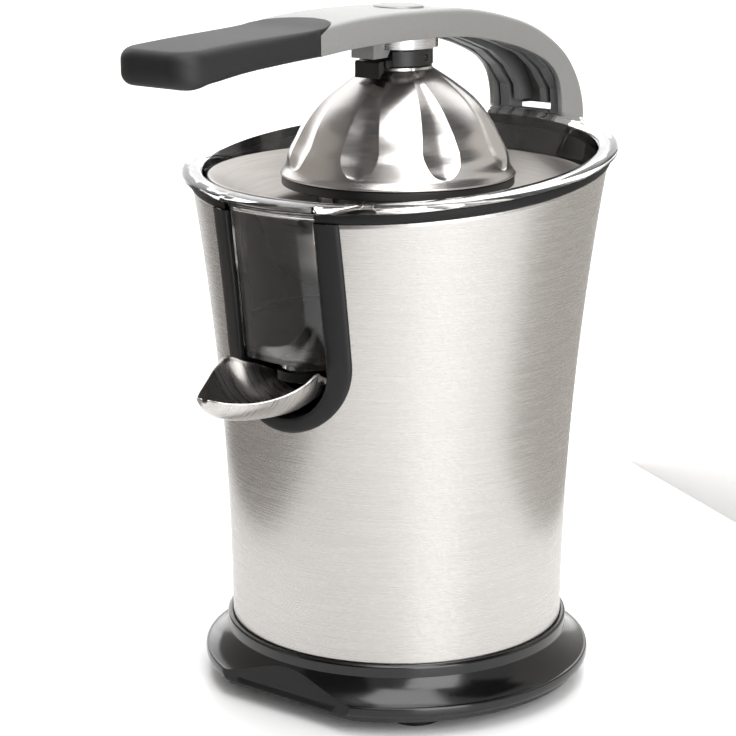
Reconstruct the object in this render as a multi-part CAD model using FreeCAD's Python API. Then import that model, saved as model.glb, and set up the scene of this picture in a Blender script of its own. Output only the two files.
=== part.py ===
import FreeCAD, Part
import math
import os

# Lever citrus press. Origin on the table under the drive axis, +Z up, the juice
# spout and the handle towards -Y, the arm hinge towards +Y. Millimetres.

# Driving dimensions
HOUSING_FOOT_R = 74.5        # steel body radius where it stands in the base collar
HOUSING_FOOT_Z = 28.0
HOUSING_FLARE = 2550.0       # body radius grows by (height above foot)^2 / this
STEEL = 1.0                  # body sheet thickness
RIM_TILT = 5.8               # degrees, the rim is higher at the arm side
RIM_Y = 1.6                  # rim centre, behind the drive axis
RIM_Z = 230.3                # steel edge height at the rim centre
GASKET_H = 4.6
FLANGE_H = 3.2
FLANGE_R = 95.3
FLANGE_INNER_R = 87.2
NOTCH_Z = 162.0              # centre of the round end of the front opening
NOTCH_OUTER = 33.5
NOTCH_INNER = 23.3
BASE_R = 87.3
COLLAR_R = 77.0
LIP_Z = 9.0
LIP_H = 4.6
COLLAR_Z = 23.5
STEEL_LOW_Z = 28.8           # visible lower edge of the steel body
FACET_Y = 80.0               # flat front of the base
FLOOR_Z = 124.0              # inner carrier floor
FLOOR_H = 3.0
TOWER_R = 12.0
TOWER_TOP = 190.0
BOWL_FLOOR_Z = 158.0
BOWL_T = 2.0
LEDGE_Z = 226.0              # the strainer's rim rests here
STRAINER_Z = 229.0
SHAFT_R = 4.0
RUN_GAP = 0.05               # radial running clearance of shafts in bushes
REAMER_TIP_Z = 262.0
HUB_R = 15.0
BOSS_R = 17.2
DOME_R = 51.5
DOME_Z = 229.0
DOME_TOP_Z = 276.5
ARM_W = 41.0
ARM_WALL = 2.6
HINGE_Y = 108.0
HINGE_Z = 236.0
HINGE_PIN_R = 3.0
SPOUT_Y = -73.0
SPOUT_Z = 152.0
SPOUT_PIN_R = 1.5
MODULE = 1.0
PINION_TEETH = 14
IDLER_TEETH = 50
OUTPUT_TEETH = 56
MOTOR_R = 31.0
MOTOR_LOW = 32.0
MOTOR_TOP = 88.0
MOTOR_X = -20.0

IDLER_Y = MODULE * (PINION_TEETH + OUTPUT_TEETH) / 2
MOTOR_REACH = MODULE * (PINION_TEETH + IDLER_TEETH) / 2
MOTOR_Y = IDLER_Y - math.sqrt(MOTOR_REACH ** 2 - MOTOR_X ** 2)
MOTOR_AT = (MOTOR_X, MOTOR_Y)
IDLER_AT = (0, IDLER_Y)

os.makedirs("parts", exist_ok=True)


def vec(x, y, z):
    return FreeCAD.Vector(x, y, z)


def keep(name, *shapes):
    """Write one node from one or more separate solids."""
    shape = shapes[0] if len(shapes) == 1 else Part.makeCompound(list(shapes))
    shape.exportStep("parts/" + name + ".step")


def outline(start, *steps, place=lambda a, b: vec(a, 0, b)):
    """Closed face: a step of one point is a line, two an arc, more a spline."""
    edges = []
    here = start
    for step in steps:
        points = [place(*here)] + [place(*p) for p in step]
        if len(step) == 1:
            edges.append(Part.makeLine(points[0], points[1]))
        elif len(step) == 2:
            edges.append(Part.Arc(*points).toShape())
        else:
            curve = Part.BSplineCurve()
            curve.interpolate(points)
            edges.append(curve.toShape())
        here = step[-1]
    if math.dist(here, start) > 1e-6:
        edges.append(Part.makeLine(place(*here), place(*start)))
    return Part.Face(Part.Wire(edges))


def turned(start, *steps, at=(0, 0)):
    """Solid of revolution about the vertical line at the given x, y."""
    solid = outline(start, *steps).revolve(vec(0, 0, 0), vec(0, 0, 1), 360)
    solid.translate(vec(at[0], at[1], 0))
    return solid


def side_plate(x0, x1, start, *steps):
    """Solid with a side-view outline in (y, z), from x0 to x1."""
    face = outline(start, *steps, place=lambda y, z: vec(x0, y, z))
    return face.extrude(vec(x1 - x0, 0, 0))


def rod(r, z0, z1, at=(0, 0)):
    return Part.makeCylinder(r, z1 - z0, vec(at[0], at[1], z0))


def tube(r_in, r_out, z0, z1, at=(0, 0)):
    return rod(r_out, z0, z1, at).cut(rod(r_in, z0 - 1, z1 + 1, at))


def cross_rod(r, x0, x1, y, z):
    return Part.makeCylinder(r, x1 - x0, vec(x0, y, z), vec(1, 0, 0))


def back_rod(r, y0, y1, x, z):
    return Part.makeCylinder(r, y1 - y0, vec(x, y0, z), vec(0, 1, 0))


def block(x0, x1, y0, y1, z0, z1):
    return Part.makeBox(x1 - x0, y1 - y0, z1 - z0, vec(x0, y0, z0))


def on_rim(shape, lift=0.0):
    """Move a shape from the level rim frame to the tilted one."""
    moved = shape.copy()
    moved.translate(vec(0, 0, lift))
    moved.rotate(vec(0, 0, 0), vec(1, 0, 0), RIM_TILT)
    moved.translate(vec(0, RIM_Y, RIM_Z))
    return moved


def above_rim(lift):
    return on_rim(block(-150, 150, -150, 150, 0, 90), lift)


def polar(count, r, first=0.0):
    angles = [math.radians(first + 360.0 * i / count) for i in range(count)]
    return [(r * math.cos(a), r * math.sin(a)) for a in angles]


def around(centre, count, r, first=0.0):
    return [(centre[0] + x, centre[1] + y) for x, y in polar(count, r, first)]


def housing_r(z):
    return HOUSING_FOOT_R + (z - HOUSING_FOOT_Z) ** 2 / HOUSING_FLARE


def flared_wall(inner, outer, z0, z1):
    """Wall between two offsets from the steel body's outer surface."""
    mid = (z0 + z1) / 2
    return turned(
        (housing_r(z0) + outer, z0),
        [(housing_r(mid) + outer, mid), (housing_r(z1) + outer, z1)],
        [(housing_r(z1) + inner, z1)],
        [(housing_r(mid) + inner, mid), (housing_r(z0) + inner, z0)],
    )


def flared_core(offset, z0, z1):
    """Full solid inside an offset of the steel body's outer surface."""
    mid = (z0 + z1) / 2
    side = [(housing_r(mid) + offset, mid), (housing_r(z1) + offset, z1)]
    return turned((0, z0), [(housing_r(z0) + offset, z0)], side, [(0, z1)])


def arch(half, centre_z):
    """Upright U-shaped prism through the front wall only."""
    face = outline(
        (half, 300), [(half, centre_z)],
        [(0, centre_z - half), (-half, centre_z)],
        [(-half, 300)], place=lambda x, z: vec(x, -130, z))
    return face.extrude(vec(0, 80, 0))


def headed(r, head_r, z0, z1, head, at=(0, 0)):
    """Screw or rod from z0 to z1 with a head above z1 (positive) or below z0."""
    if head > 0:
        return rod(r, z0, z1, at).fuse(rod(head_r, z1, z1 + head, at))
    return rod(r, z0, z1, at).fuse(rod(head_r, z0 + head, z0, at))


def gear(teeth, z0, z1, bore, at, tooth_at, backlash=0.12):
    """Involute spur gear with one tooth's centre at angle tooth_at."""
    r = MODULE * teeth / 2
    base_r = r * math.cos(math.radians(20))
    tip_r = r + 0.8 * MODULE
    root_r = r - 1.05 * MODULE

    def involute(radius):
        a = math.acos(min(1.0, base_r / radius))
        return math.tan(a) - a

    half = math.pi / (2 * teeth) - backlash / (2 * r) + involute(r)
    low_r = max(base_r, root_r)
    radii = [low_r + (tip_r - low_r) * k / 3 for k in range(4)]
    flank = [(q, half - involute(q)) for q in radii]
    if root_r < low_r:
        flank.insert(0, (root_r, half))
    points = []
    for i in range(teeth):
        centre = tooth_at + 2 * math.pi * i / teeth
        points += [(q, centre - a) for q, a in flank]
        points += [(q, centre + a) for q, a in reversed(flank)]
    corners = [vec(at[0] + q * math.cos(a), at[1] + q * math.sin(a), z0) for q, a in points]
    wheel = Part.Face(Part.makePolygon(corners + corners[:1])).extrude(vec(0, 0, z1 - z0))
    return wheel.cut(rod(bore, z0 - 1, z1 + 1, at))


# Steel body: rolled and flared sheet, cut to the tilted rim, open at the front.
CUT_HALF = NOTCH_INNER + 4.0
CUT_Z = NOTCH_Z - 3.9
TIE_POINTS = polar(3, 64.0, 270)
BRACKET_SCREWS = [(-17.0, 219.5), (17.0, 219.5)]
body = flared_wall(-STEEL, 0, 25, 246).cut(above_rim(0)).cut(arch(CUT_HALF, CUT_Z))
body = body.cut([back_rod(1.8, 60, 120, x, z) for x, z in BRACKET_SCREWS])
keep("steel_body", body)

# Black inner carrier: tub that holds the bowl, with the tower for the upper bush.
wall = flared_wall(-STEEL - 1.9, -STEEL - 0.3, FLOOR_Z, 246).cut(above_rim(0))
wall = wall.cut(arch(NOTCH_INNER + 3.4, CUT_Z))
floor = rod(housing_r(FLOOR_Z) - STEEL - 1.5, FLOOR_Z, FLOOR_Z + FLOOR_H)
carrier = wall.fuse(floor).fuse(rod(TOWER_R, FLOOR_Z + 1, TOWER_TOP))
carrier = carrier.cut(rod(9.0, FLOOR_Z - 1, TOWER_TOP + 1))
for point in TIE_POINTS:
    carrier = carrier.cut(rod(2.1, FLOOR_Z - 1, FLOOR_Z + FLOOR_H + 1, point))
carrier = carrier.cut([back_rod(1.8, 60, 120, x, z) for x, z in BRACKET_SCREWS])
keep("inner_carrier", carrier)

# Black bezel and tunnel of the front opening, with the spout's pivot holes.
TRIM_PROUD = 1.4
bezel = flared_wall(0.1, TRIM_PROUD, 120, 240)
bezel = bezel.common(arch(NOTCH_OUTER, NOTCH_Z)).cut(arch(NOTCH_INNER, CUT_Z))
tunnel = flared_wall(-10, TRIM_PROUD, 120, 157.5).fuse(flared_wall(-3.6, TRIM_PROUD, 157, 240))
tunnel = tunnel.common(arch(NOTCH_INNER + 3.0, CUT_Z))
tunnel = tunnel.cut(arch(NOTCH_INNER, CUT_Z))
trim = bezel.fuse(tunnel).cut(above_rim(-0.1))
trim = trim.cut(cross_rod(SPOUT_PIN_R + RUN_GAP, -40, 40, SPOUT_Y, SPOUT_Z))
keep("notch_trim", trim)

# Rubber ring between the steel edge and the bowl flange, open at the front chamber.
ring = on_rim(tube(88.4, 92.0, 0, GASKET_H)).cut(arch(NOTCH_INNER + 0.3, NOTCH_Z))
keep("rim_gasket", ring)


# Clear juice bowl: floor with centre tube, wall with strainer ledge, tilted flange,
# front chamber and outlet nozzle.
def level_ring(r, z):
    return Part.Wire(Part.makeCircle(r, vec(0, 0, z)))


def rim_ring(r, lift):
    return on_rim(Part.Wire(Part.makeCircle(r, vec(0, 0, 0))), lift)


FLANGE_TOP = GASKET_H + FLANGE_H
CHAMBER_W = 22.8
NOZZLE_AT = (0, -67.0)
low_wall = turned(
    (0, BOWL_FLOOR_Z), [(76.7, BOWL_FLOOR_Z)], [(82.2, 221.5)], [(85.8, 224)],
    [(85.8, LEDGE_Z)], [(80.4, LEDGE_Z)], [(80.0, 222)],
    [(74.7, BOWL_FLOOR_Z + BOWL_T)], [(0, BOWL_FLOOR_Z + BOWL_T)])
wall_out = Part.makeLoft([level_ring(85.8, LEDGE_Z), rim_ring(87.7, FLANGE_TOP)], True, True)
wall_in = Part.makeLoft([level_ring(83.6, LEDGE_Z), rim_ring(FLANGE_INNER_R, FLANGE_TOP)], True, True)
flange = on_rim(turned(
    (85.0, 0.0), [(FLANGE_R - 1.2, 0.0)], [(FLANGE_R, 1.0), (FLANGE_R - 0.5, 2.4)],
    [(FLANGE_R - 3.0, FLANGE_H)], [(85.0, FLANGE_H)]), GASKET_H)
chamber = flared_wall(-8.5, -0.8, BOWL_FLOOR_Z, 236)
chamber = chamber.common(block(-CHAMBER_W, CHAMBER_W, -95, -60, 150, 240)).cut(above_rim(GASKET_H + 0.5))
chamber_in = flared_wall(-14, -0.8 - BOWL_T, BOWL_FLOOR_Z + BOWL_T, 221).common(
    block(BOWL_T - CHAMBER_W, CHAMBER_W - BOWL_T, -95, -60, 150, 240))
bowl = low_wall.fuse([chamber, wall_out, flange]).cut(wall_in)
bowl = bowl.cut(rod(80.2, 222, LEDGE_Z + 0.5)).cut(chamber_in).cut(above_rim(FLANGE_TOP))
bowl = bowl.fuse(rod(15.5, BOWL_FLOOR_Z, 200)).cut(rod(13.5, 150, 201))
bowl = bowl.fuse(rod(8.5, 149, BOWL_FLOOR_Z + 0.5, NOZZLE_AT)).cut(rod(6.5, 140, 165, NOZZLE_AT))
keep("juice_bowl", bowl)
keep("outlet_seal", tube(8.5, 10.0, 150, 154, NOZZLE_AT))

# Steel strainer: turned-down rim on the ledge, funnel, deep centre, slotted floor.
strainer = turned(
    (83.2, LEDGE_Z + 0.1), [(83.2, 228.5)], [(82.7, STRAINER_Z)], [(61.0, 212.5)], [(57.3, 199)],
    [(51.0, 188.6), (37, 185.1)], [(21.8, 185.1)], [(20.8, 196)], [(20.0, 196)], [(21.0, 184.3)],
    [(37, 184.3)], [(51.6, 187.9), (58.1, 199)], [(61.6, 211.9)], [(82.5, 228.0)],
    [(82.5, LEDGE_Z + 0.1)])
holes = [rod(1.1, 183, 186, p) for p in polar(18, 26.0) + polar(24, 32.0)]
keep("strainer", strainer.cut(holes))

# Reamer: ribbed cone with a skirt, pressed on a hub insert that sits on the shaft.
reamer = turned(
    (17.0, 197), [(19.0, 197)], [(19.5, 210)], [(40.5, 208)], [(41.0, 209.5)], [(34.0, 214.5)],
    [(29.0, 232), (14.0, 253)], [(6.5, 260.2), (0, REAMER_TIP_Z)], [(0, 234)], [(9.0, 234)],
    [(9.0, 208)], [(17.0, 208)])
rib_face = outline(
    (13.0, 214), [(37.0, 214.2)], [(32.6, 232), (16.5, 254.5)], [(8.5, 261.0), (4.0, 261.6)], [(4.0, 246)],
    [(10.5, 236)])
ribs = []
for i in range(12):
    rib = rib_face.extrude(vec(0, 2, 0))
    rib.translate(vec(0, -1, 0))
    rib.rotate(vec(0, 0, 0), vec(0, 0, 1), 15 + 30 * i)
    ribs.append(rib)
keep("reamer_cone", reamer.fuse(ribs))
keep("reamer_insert", tube(SHAFT_R, 9.0, 208, 234))

# Drive shaft with its clip, bushes, seal, thrust plate, switch and return spring.
SHAFT_LOW = 98.0
SPRING_LOW = 87.0
BORE_R = SHAFT_R + RUN_GAP
keep("drive_shaft", rod(SHAFT_R, SHAFT_LOW, 233))
keep("tower_bush", rod(9.0, 180, TOWER_TOP).fuse(rod(11.0, TOWER_TOP, 191.5)).cut(rod(BORE_R, 179, 193)))
keep("shaft_seal", tube(BORE_R, 8.0, 191.5, 194))
THRUST_Z = SHAFT_LOW - 2
thrust = rod(7.0, THRUST_Z, SHAFT_LOW).fuse(block(0, 25, -14, -8, THRUST_Z, SHAFT_LOW))
keep("thrust_plate", thrust.fuse(block(0, 6, -9, -3, THRUST_Z, SHAFT_LOW)))
WIRE_R = 0.35
pitch = (THRUST_Z - SPRING_LOW - 2.4 * WIRE_R) / 4
helix = Part.makeHelix(pitch, pitch * 4, 4.6)
section = Part.Wire(Part.makeCircle(WIRE_R, vec(4.6, 0, 0), vec(0, 1, 0)))
spring = Part.Solid(Part.Shell(Part.Wire(helix.Edges).makePipeShell([section], True, True).Faces))
spring.translate(vec(0, 0, SPRING_LOW + 1.2 * WIRE_R))
keep("return_spring", spring)
switch = block(14, 34, -14.5, -7.5, 86.9, 92.9).cut(block(20.5, 23.5, -12.5, -9.5, 88.8, 94))
keep("switch_body", switch)
keep("switch_plunger", block(20.7, 23.3, -12.3, -9.7, 92.4, THRUST_Z - 0.05))

# Gear train between motor and drive shaft, in mesh as drawn.
TO_MOTOR = math.atan2(MOTOR_Y - IDLER_Y, MOTOR_X)
HALF_PITCH = math.pi / PINION_TEETH
keep("output_gear", gear(OUTPUT_TEETH, 109, 116, BORE_R, (0, 0), math.pi / 2))
small = gear(PINION_TEETH, 108, 117, 2.5, IDLER_AT, HALF_PITCH - math.pi / 2)
large = gear(IDLER_TEETH, 99, 108, 2.5, IDLER_AT, TO_MOTOR).cut(tube(9.5, 19.5, 103.5, 110, IDLER_AT))
keep("idler_gear", small.fuse(large))
keep("idler_axle", rod(2.5 - RUN_GAP, 88, 121.5, IDLER_AT))
keep("motor_pinion", gear(PINION_TEETH, 97.5, 107.5, 3.0, MOTOR_AT, TO_MOTOR + math.pi + HALF_PITCH))

# Gearbox plates with corner posts, hung under the carrier floor.
GEARBOX_R = 70.0
AXLE_R = 2.5 - RUN_GAP
POSTS = [(-56, -30), (56, -30), (-48, 42), (48, 42)]
MOTOR_SCREWS = around(MOTOR_AT, 4, 24.0)
lower = rod(GEARBOX_R, 88, 91).fuse(rod(7.5, 85.4, 88.5))
upper = rod(GEARBOX_R, 119.5, 122.5).fuse(rod(9.0, 117.6, 120))
for point in POSTS:
    lower = lower.fuse(rod(5.0, 90, 119.5, point)).cut(rod(1.6, 90, 121, point))
    upper = upper.cut(rod(1.9, 118, 124, point))
for point in TIE_POINTS:
    lower = lower.cut(rod(3.2, 80, 95, point))
    upper = upper.cut(rod(3.2, 110, 125, point))
for point in MOTOR_SCREWS:
    lower = lower.cut(rod(1.6, 80, 95, point))
lower = lower.cut(rod(5.6, SPRING_LOW, 95)).cut(rod(12.0, 87, 95, MOTOR_AT))
lower = lower.cut(rod(AXLE_R, 80, 95, IDLER_AT)).cut(block(13.8, 34.2, -14.7, -7.3, 84, 95))
upper = upper.cut(rod(BORE_R, 110, 130)).cut(rod(AXLE_R, 110, 121.5, IDLER_AT))
keep("gearbox_base", lower)
keep("gearbox_cover", upper)
keep("gearbox_screws", *[headed(1.55, 3.0, 104, 122.5, 1.4, p) for p in POSTS])

# Motor: frame, end caps, field, windings, brushes and the turning armature.
can = rod(MOTOR_R, MOTOR_LOW, MOTOR_TOP - 3, MOTOR_AT).cut(rod(MOTOR_R - 2, MOTOR_LOW + 3, 90, MOTOR_AT))
keep("motor_frame", can.cut(rod(5.0, 20, 60, MOTOR_AT)))
mount = rod(MOTOR_R, MOTOR_TOP - 3, MOTOR_TOP, MOTOR_AT).cut(rod(5.0, 80, 90, MOTOR_AT))
mount = mount.cut(rod(7.5, 80, 90))
for point in MOTOR_SCREWS:
    mount = mount.cut(rod(1.5, 80, 92, point))
keep("motor_mount", mount)
keep("motor_screws", *[headed(1.5, 2.8, 85.5, 91, 1.6, p) for p in MOTOR_SCREWS])
keep("motor_bushes", *[tube(3.0 + RUN_GAP, 5.0, z, z + 4, MOTOR_AT) for z in (MOTOR_LOW, MOTOR_TOP - 4)])
POLE_GAP = block(MOTOR_X - 8, MOTOR_X + 8, MOTOR_Y - 40, MOTOR_Y + 40, 30, 90)
poles = tube(20.0, MOTOR_R - 2, 44, 68, MOTOR_AT).cut(POLE_GAP)
keep("motor_field", poles.fuse(tube(26.0, MOTOR_R - 2, 44, 68, MOTOR_AT)))
keep("field_windings", *[tube(20.5, 27.0, z, z + 6, MOTOR_AT) for z in (37.9, 68.1)])
armature = rod(19.3, 44, 68, MOTOR_AT).cut([rod(1.6, 40, 70, p) for p in around(MOTOR_AT, 12, 19.3)])
keep("armature_core", armature.cut(rod(3.0, 40, 70, MOTOR_AT)))
keep("armature_shaft", rod(3.0, 33, 107.5, MOTOR_AT))
keep("commutator", tube(3.0, 9.0, 37, 43.6, MOTOR_AT))
brushes = []
for side in (-1, 1):
    x = MOTOR_X + side * 14.8
    brushes.append(block(x - 5.6, x + 5.6, MOTOR_Y - 2.5, MOTOR_Y + 2.5, 35.0, 37.8))
keep("brush_holders", *brushes)
fan = tube(3.0, 17.0, 75.5, 77.5, MOTOR_AT)
for i in range(8):
    blade = block(MOTOR_X + 6, MOTOR_X + 17, MOTOR_Y - 0.6, MOTOR_Y + 0.6, 77, 83)
    blade.rotate(vec(MOTOR_X, MOTOR_Y, 0), vec(0, 0, 1), 45 * i)
    fan = fan.fuse(blade)
keep("cooling_fan", fan)

# Base: flared skirt with collar and flat front facet, bottom plate, feet, screws.
LIP_TOP = LIP_Z + LIP_H
GLAND_Z = 19.0
FOOT_POINTS = polar(4, 62.0, 45)
PLATE_POINTS = polar(4, 71.0, 20)


def facet(inset):
    """Block in front of the slanted flat of the base."""
    low = inset - FACET_Y
    return side_plate(
        -120, 120, (low, 0), [(low, LIP_Z)], [(low + 2.6, COLLAR_Z)], [(low + 2.6, 40)],
        [(-150, 40)], [(-150, 0)])


skirt_out = turned(
    (0, LIP_Z), [(BASE_R - 0.5, LIP_Z)], [(BASE_R, (LIP_Z + LIP_TOP) / 2), (BASE_R - 0.5, LIP_TOP)],
    [(BASE_R - 1.6, LIP_TOP)], [(80.6, 17.8), (COLLAR_R, COLLAR_Z)], [(COLLAR_R, 27.4)],
    [(COLLAR_R - 0.7, STEEL_LOW_Z)], [(0, STEEL_LOW_Z)])
skirt_in = turned(
    (0, 0), [(BASE_R - 3, 0)], [(BASE_R - 3, LIP_TOP - 2)], [(78.6, 15.4), (COLLAR_R - 4, COLLAR_Z - 2)],
    [(COLLAR_R - 4, 24.9)], [(housing_r(28) + 0.15, 24.9)], [(housing_r(28) + 0.15, 40)], [(0, 40)])
skirt = skirt_out.cut(facet(0)).cut(skirt_in.cut(facet(2.5)))
skirt = skirt.fuse(tube(50.0, 73.5, 20.0, 22.5))
for point in PLATE_POINTS:
    skirt = skirt.fuse(rod(3.6, LIP_Z, 20.5, point)).cut(rod(1.5, 0, 19, point))
for point in TIE_POINTS:
    skirt = skirt.cut(rod(2.1, 15, 30, point))
skirt = skirt.cut(back_rod(3.9, 70, 100, 0, GLAND_Z))
keep("base_skirt", skirt)
plate = rod(BASE_R - 3.4, 6.0, LIP_Z).cut(facet(3.4))
for i in range(9):
    y = 8 * i - 32
    half = math.sqrt(46 ** 2 - y ** 2)
    plate = plate.cut(block(-half, half, y - 1.5, y + 1.5, 0, 20))
plate = plate.fuse(block(-2, 2, -45, 45, 6.0, LIP_Z))
for point in PLATE_POINTS:
    plate = plate.cut(rod(1.8, 0, 20, point)).cut(rod(3.3, 0, 7.2, point))
for point in FOOT_POINTS:
    plate = plate.cut(rod(3.0, 0, 20, point))
keep("bottom_plate", plate)
feet = [turned((0, 0), [(11.4, 0)], [(12.1, 0.3), (12.4, 1.0)], [(12.4, 6.0)], [(3.0, 6.0)],
               [(3.0, 9.0)], [(4.2, 9.0)], [(2.2, 11.4)], [(0, 11.4)], at=p) for p in FOOT_POINTS]
keep("rubber_feet", *feet)
keep("plate_screws", *[headed(1.45, 2.9, 7.2, 17, -0.9, p) for p in PLATE_POINTS])
ties = [rod(2.0, 17, 129.5, p).fuse([rod(3.6, 17.5, 20, p), rod(3.6, 127, 129.5, p)]) for p in TIE_POINTS]
keep("tie_rods", *ties)
gland = back_rod(5.6, 74, 86.8, 0, GLAND_Z).cut(skirt_out).fuse(back_rod(3.9, 74.5, 86.8, 0, GLAND_Z))
keep("cord_gland", gland.cut(back_rod(2.7, 65, 95, 0, GLAND_Z)))

# Spout: steel scoop lofted through crescent sections, on two pins in the bezel.
SCOOP_T = 1.1
SCOOP = [                                    # reach, half width, rim height, keel height
    (65.5, 17.5, 150.5, 142.0), (73.0, 20.0, 155.0, 139.8), (80.0, 21.6, 158.2, 138.4),
    (86.0, 25.4, 160.6, 138.2), (94.0, 24.6, 157.0, 138.6), (104.0, 20.8, 153.6, 139.6),
    (114.0, 15.4, 152.2, 141.4), (122.0, 9.4, 152.6, 144.4), (128.0, 4.0, 153.2, 148.6)]
sections = []
for reach, half, rim_z, keel_z in SCOOP:
    inner = half - SCOOP_T
    face = outline(
        (-half, rim_z), [(0, keel_z), (half, rim_z)], [(inner, rim_z)],
        [(0, keel_z + SCOOP_T), (-inner, rim_z)], place=lambda x, z, y=-reach: vec(x, y, z))
    sections.append(face.OuterWire)
spout = Part.makeLoft(sections, True, False)
bowl_front = rod(housing_r(166) - 0.5, BOWL_FLOOR_Z - 0.3, 170).common(block(-23.3, 23.3, -95, -60, 150, 175))
bowl_outlet = rod(8.9, 148.6, 160, (0, -67))
for tilt in (3, 6, 9, 12):
    for held in (bowl_front, bowl_outlet):
        swung = held.copy()
        swung.rotate(vec(0, SPOUT_Y, SPOUT_Z), vec(1, 0, 0), tilt)
        spout = spout.cut(swung)
pins = [cross_rod(SPOUT_PIN_R, min(s * 18.9, s * 25.6), max(s * 18.9, s * 25.6), SPOUT_Y, SPOUT_Z) for s in (-1, 1)]
keep("juice_spout", spout.cut(pins))
keep("spout_pins", *pins)

# Arm hinge: bracket on the rear of the housing, its screws, pin and washers.
LUG_X = 10.2
LUG_R = 9.0
bracket = flared_core(4.2, 203, 236).common(block(-24, 24, 60, 120, 190, 250))
diag = LUG_R * math.sqrt(0.5)
lug = side_plate(
    -LUG_X, LUG_X, (86, 208), [(102, 222)], [(HINGE_Y + diag, HINGE_Z - diag)],
    [(HINGE_Y + LUG_R, HINGE_Z), (HINGE_Y, HINGE_Z + LUG_R)],
    [(HINGE_Y - diag, HINGE_Z + diag), (HINGE_Y - LUG_R, HINGE_Z)], [(96.5, 234.5)], [(86, 234.5)])
bracket = bracket.fuse(lug).cut(flared_core(0.1, 25, 246))
screws = []
for x, z in BRACKET_SCREWS:
    seat_y = math.sqrt((housing_r(z) + 4.2) ** 2 - x ** 2) - 0.8
    bracket = bracket.cut(back_rod(1.8, 60, 120, x, z)).cut(back_rod(3.5, seat_y, 120, x, z))
    screws.append(back_rod(1.8, seat_y - 6.2, seat_y, x, z).fuse(back_rod(3.4, seat_y, seat_y + 1.8, x, z)))
keep("hinge_bracket", bracket.cut(cross_rod(HINGE_PIN_R, -50, 50, HINGE_Y, HINGE_Z)))
keep("bracket_screws", *screws)
keep("hinge_pin", cross_rod(HINGE_PIN_R, -17.4, 17.4, HINGE_Y, HINGE_Z))
washers = []
for x0 in (LUG_X + 0.05, -LUG_X - 1.05):
    ring = cross_rod(7.0, x0, x0 + 1.0, HINGE_Y, HINGE_Z)
    washers.append(ring.cut(cross_rod(HINGE_PIN_R + RUN_GAP, -40, 40, HINGE_Y, HINGE_Z)))
keep("friction_washers", *washers)

# Arm: painted channel, open below and in front, curving down to the hinge.
FLANK_END_R = 10.0
LEG_FRONT = HINGE_Y - FLANK_END_R
LEG_BACK = HINGE_Y + FLANK_END_R
GRIP_Y = -78.0
SEAM_Y = -58.0
BORE_IN = ARM_W / 2 - ARM_WALL
TOP_LINE = [(-46, 300.9), (-9, 300.7), (24, 299), (54, 293.6), (84, 283.6), (103, 271.4), (113, 258.6),
            (LEG_BACK, HINGE_Z)]
LOW_LINE = [(LEG_FRONT + 0.4, 251), (95.6, 261), (88.6, 268.4), (78, 273.6), (63, 278.8), (46, 283),
            (24, 286.6), (0, 288.4), (-50, 288.9), (GRIP_Y, 287.3)]
INNER_TOP = [(-46, 297.9), (-9, 297.7), (24, 296), (53, 290.7), (82.2, 281), (100.4, 269.4), (110, 257.4),
             (LEG_BACK - 3, HINGE_Z)]
arm = side_plate(-ARM_W / 2, ARM_W / 2, (GRIP_Y, 298.4), TOP_LINE,
                 [(HINGE_Y, HINGE_Z - FLANK_END_R), (LEG_FRONT, HINGE_Z)], LOW_LINE)
channel = side_plate(-BORE_IN, BORE_IN, (-66, 298), INNER_TOP, [(LEG_BACK - 3, 215)], [(70, 215)],
                     [(70, 262)], [(-66, 275)])
grip_plan = outline(
    (-30, -150), [(-30, GRIP_Y)], [(-ARM_W / 2, GRIP_Y)], [(0, SEAM_Y), (ARM_W / 2, GRIP_Y)], [(30, GRIP_Y)],
    [(30, -150)], place=lambda x, y: vec(x, y, 250)).extrude(vec(0, 0, 80))
arm = arm.cut(channel).cut(grip_plan).cut(block(-BORE_IN, BORE_IN, 100, 130, 200, 247))
COVER_SCREWS = [(0, -44), (0, -26)]
arm = arm.cut(rod(11.2, 298.9, 310)).cut(rod(2.5, 290, 310))
arm = arm.cut([rod(1.5, 290, 299.2, p) for p in COVER_SCREWS])
keep("arm_cover", arm)

# Arm frame: plate under the cover, ribs down to the hinge ears, tongue into the grip.
EAR_R = 9.4
FRAME_FRONT = SEAM_Y + 0.5
frame = side_plate(
    0.1 - BORE_IN, BORE_IN - 0.1, (FRAME_FRONT, 297.5), [(-9, 297.4)], [(24, 295.7)], [(24, 293.0)],
    [(-9, 294.6)], [(FRAME_FRONT, 294.9)])
rib_side = [(130, 310), (130, 249), (101.6, 249), (100.5, 256), (91.5, 266), (79, 274), (60, 280.5), (38, 286.5),
            (18, 291)]
for inner, outer in ((6.0, 8.8), (11.6, 16.6)):
    for x0, x1 in ((-outer, -inner), (inner, outer)):
        rib = side_plate(x0, x1, (18, 310), *[[point] for point in rib_side]).common(channel)
        if inner > 10:
            rib = rib.fuse(cross_rod(EAR_R, x0, x1, HINGE_Y, HINGE_Z))
            rib = rib.fuse(block(x0, x1, 101.6, 112.4, HINGE_Z, 250))
        frame = frame.fuse(rib)
TONGUE = block(-12, 12, -140, FRAME_FRONT + 3, 289.5, 295.5)
frame = frame.fuse(TONGUE).cut(rod(2.5, 285, 310))
frame = frame.cut(cross_rod(HINGE_PIN_R + RUN_GAP, -30, 30, HINGE_Y, HINGE_Z))
GRIP_SCREWS = [(0, -128), (0, -96)]
frame = frame.cut([rod(1.5, 280, 294, p) for p in GRIP_SCREWS] + [rod(1.5, 290, 300, p) for p in COVER_SCREWS])
keep("arm_frame", frame)
SCREW_LEN = 5.6
arm_screws = [headed(1.5, 2.8, 293.6, 293.6 + SCREW_LEN, -1.4, p) for p in COVER_SCREWS]
arm_screws += [headed(1.5, 2.8, 287.6, 287.6 + SCREW_LEN, -1.4, p) for p in GRIP_SCREWS]
keep("arm_screws", *arm_screws)
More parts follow.
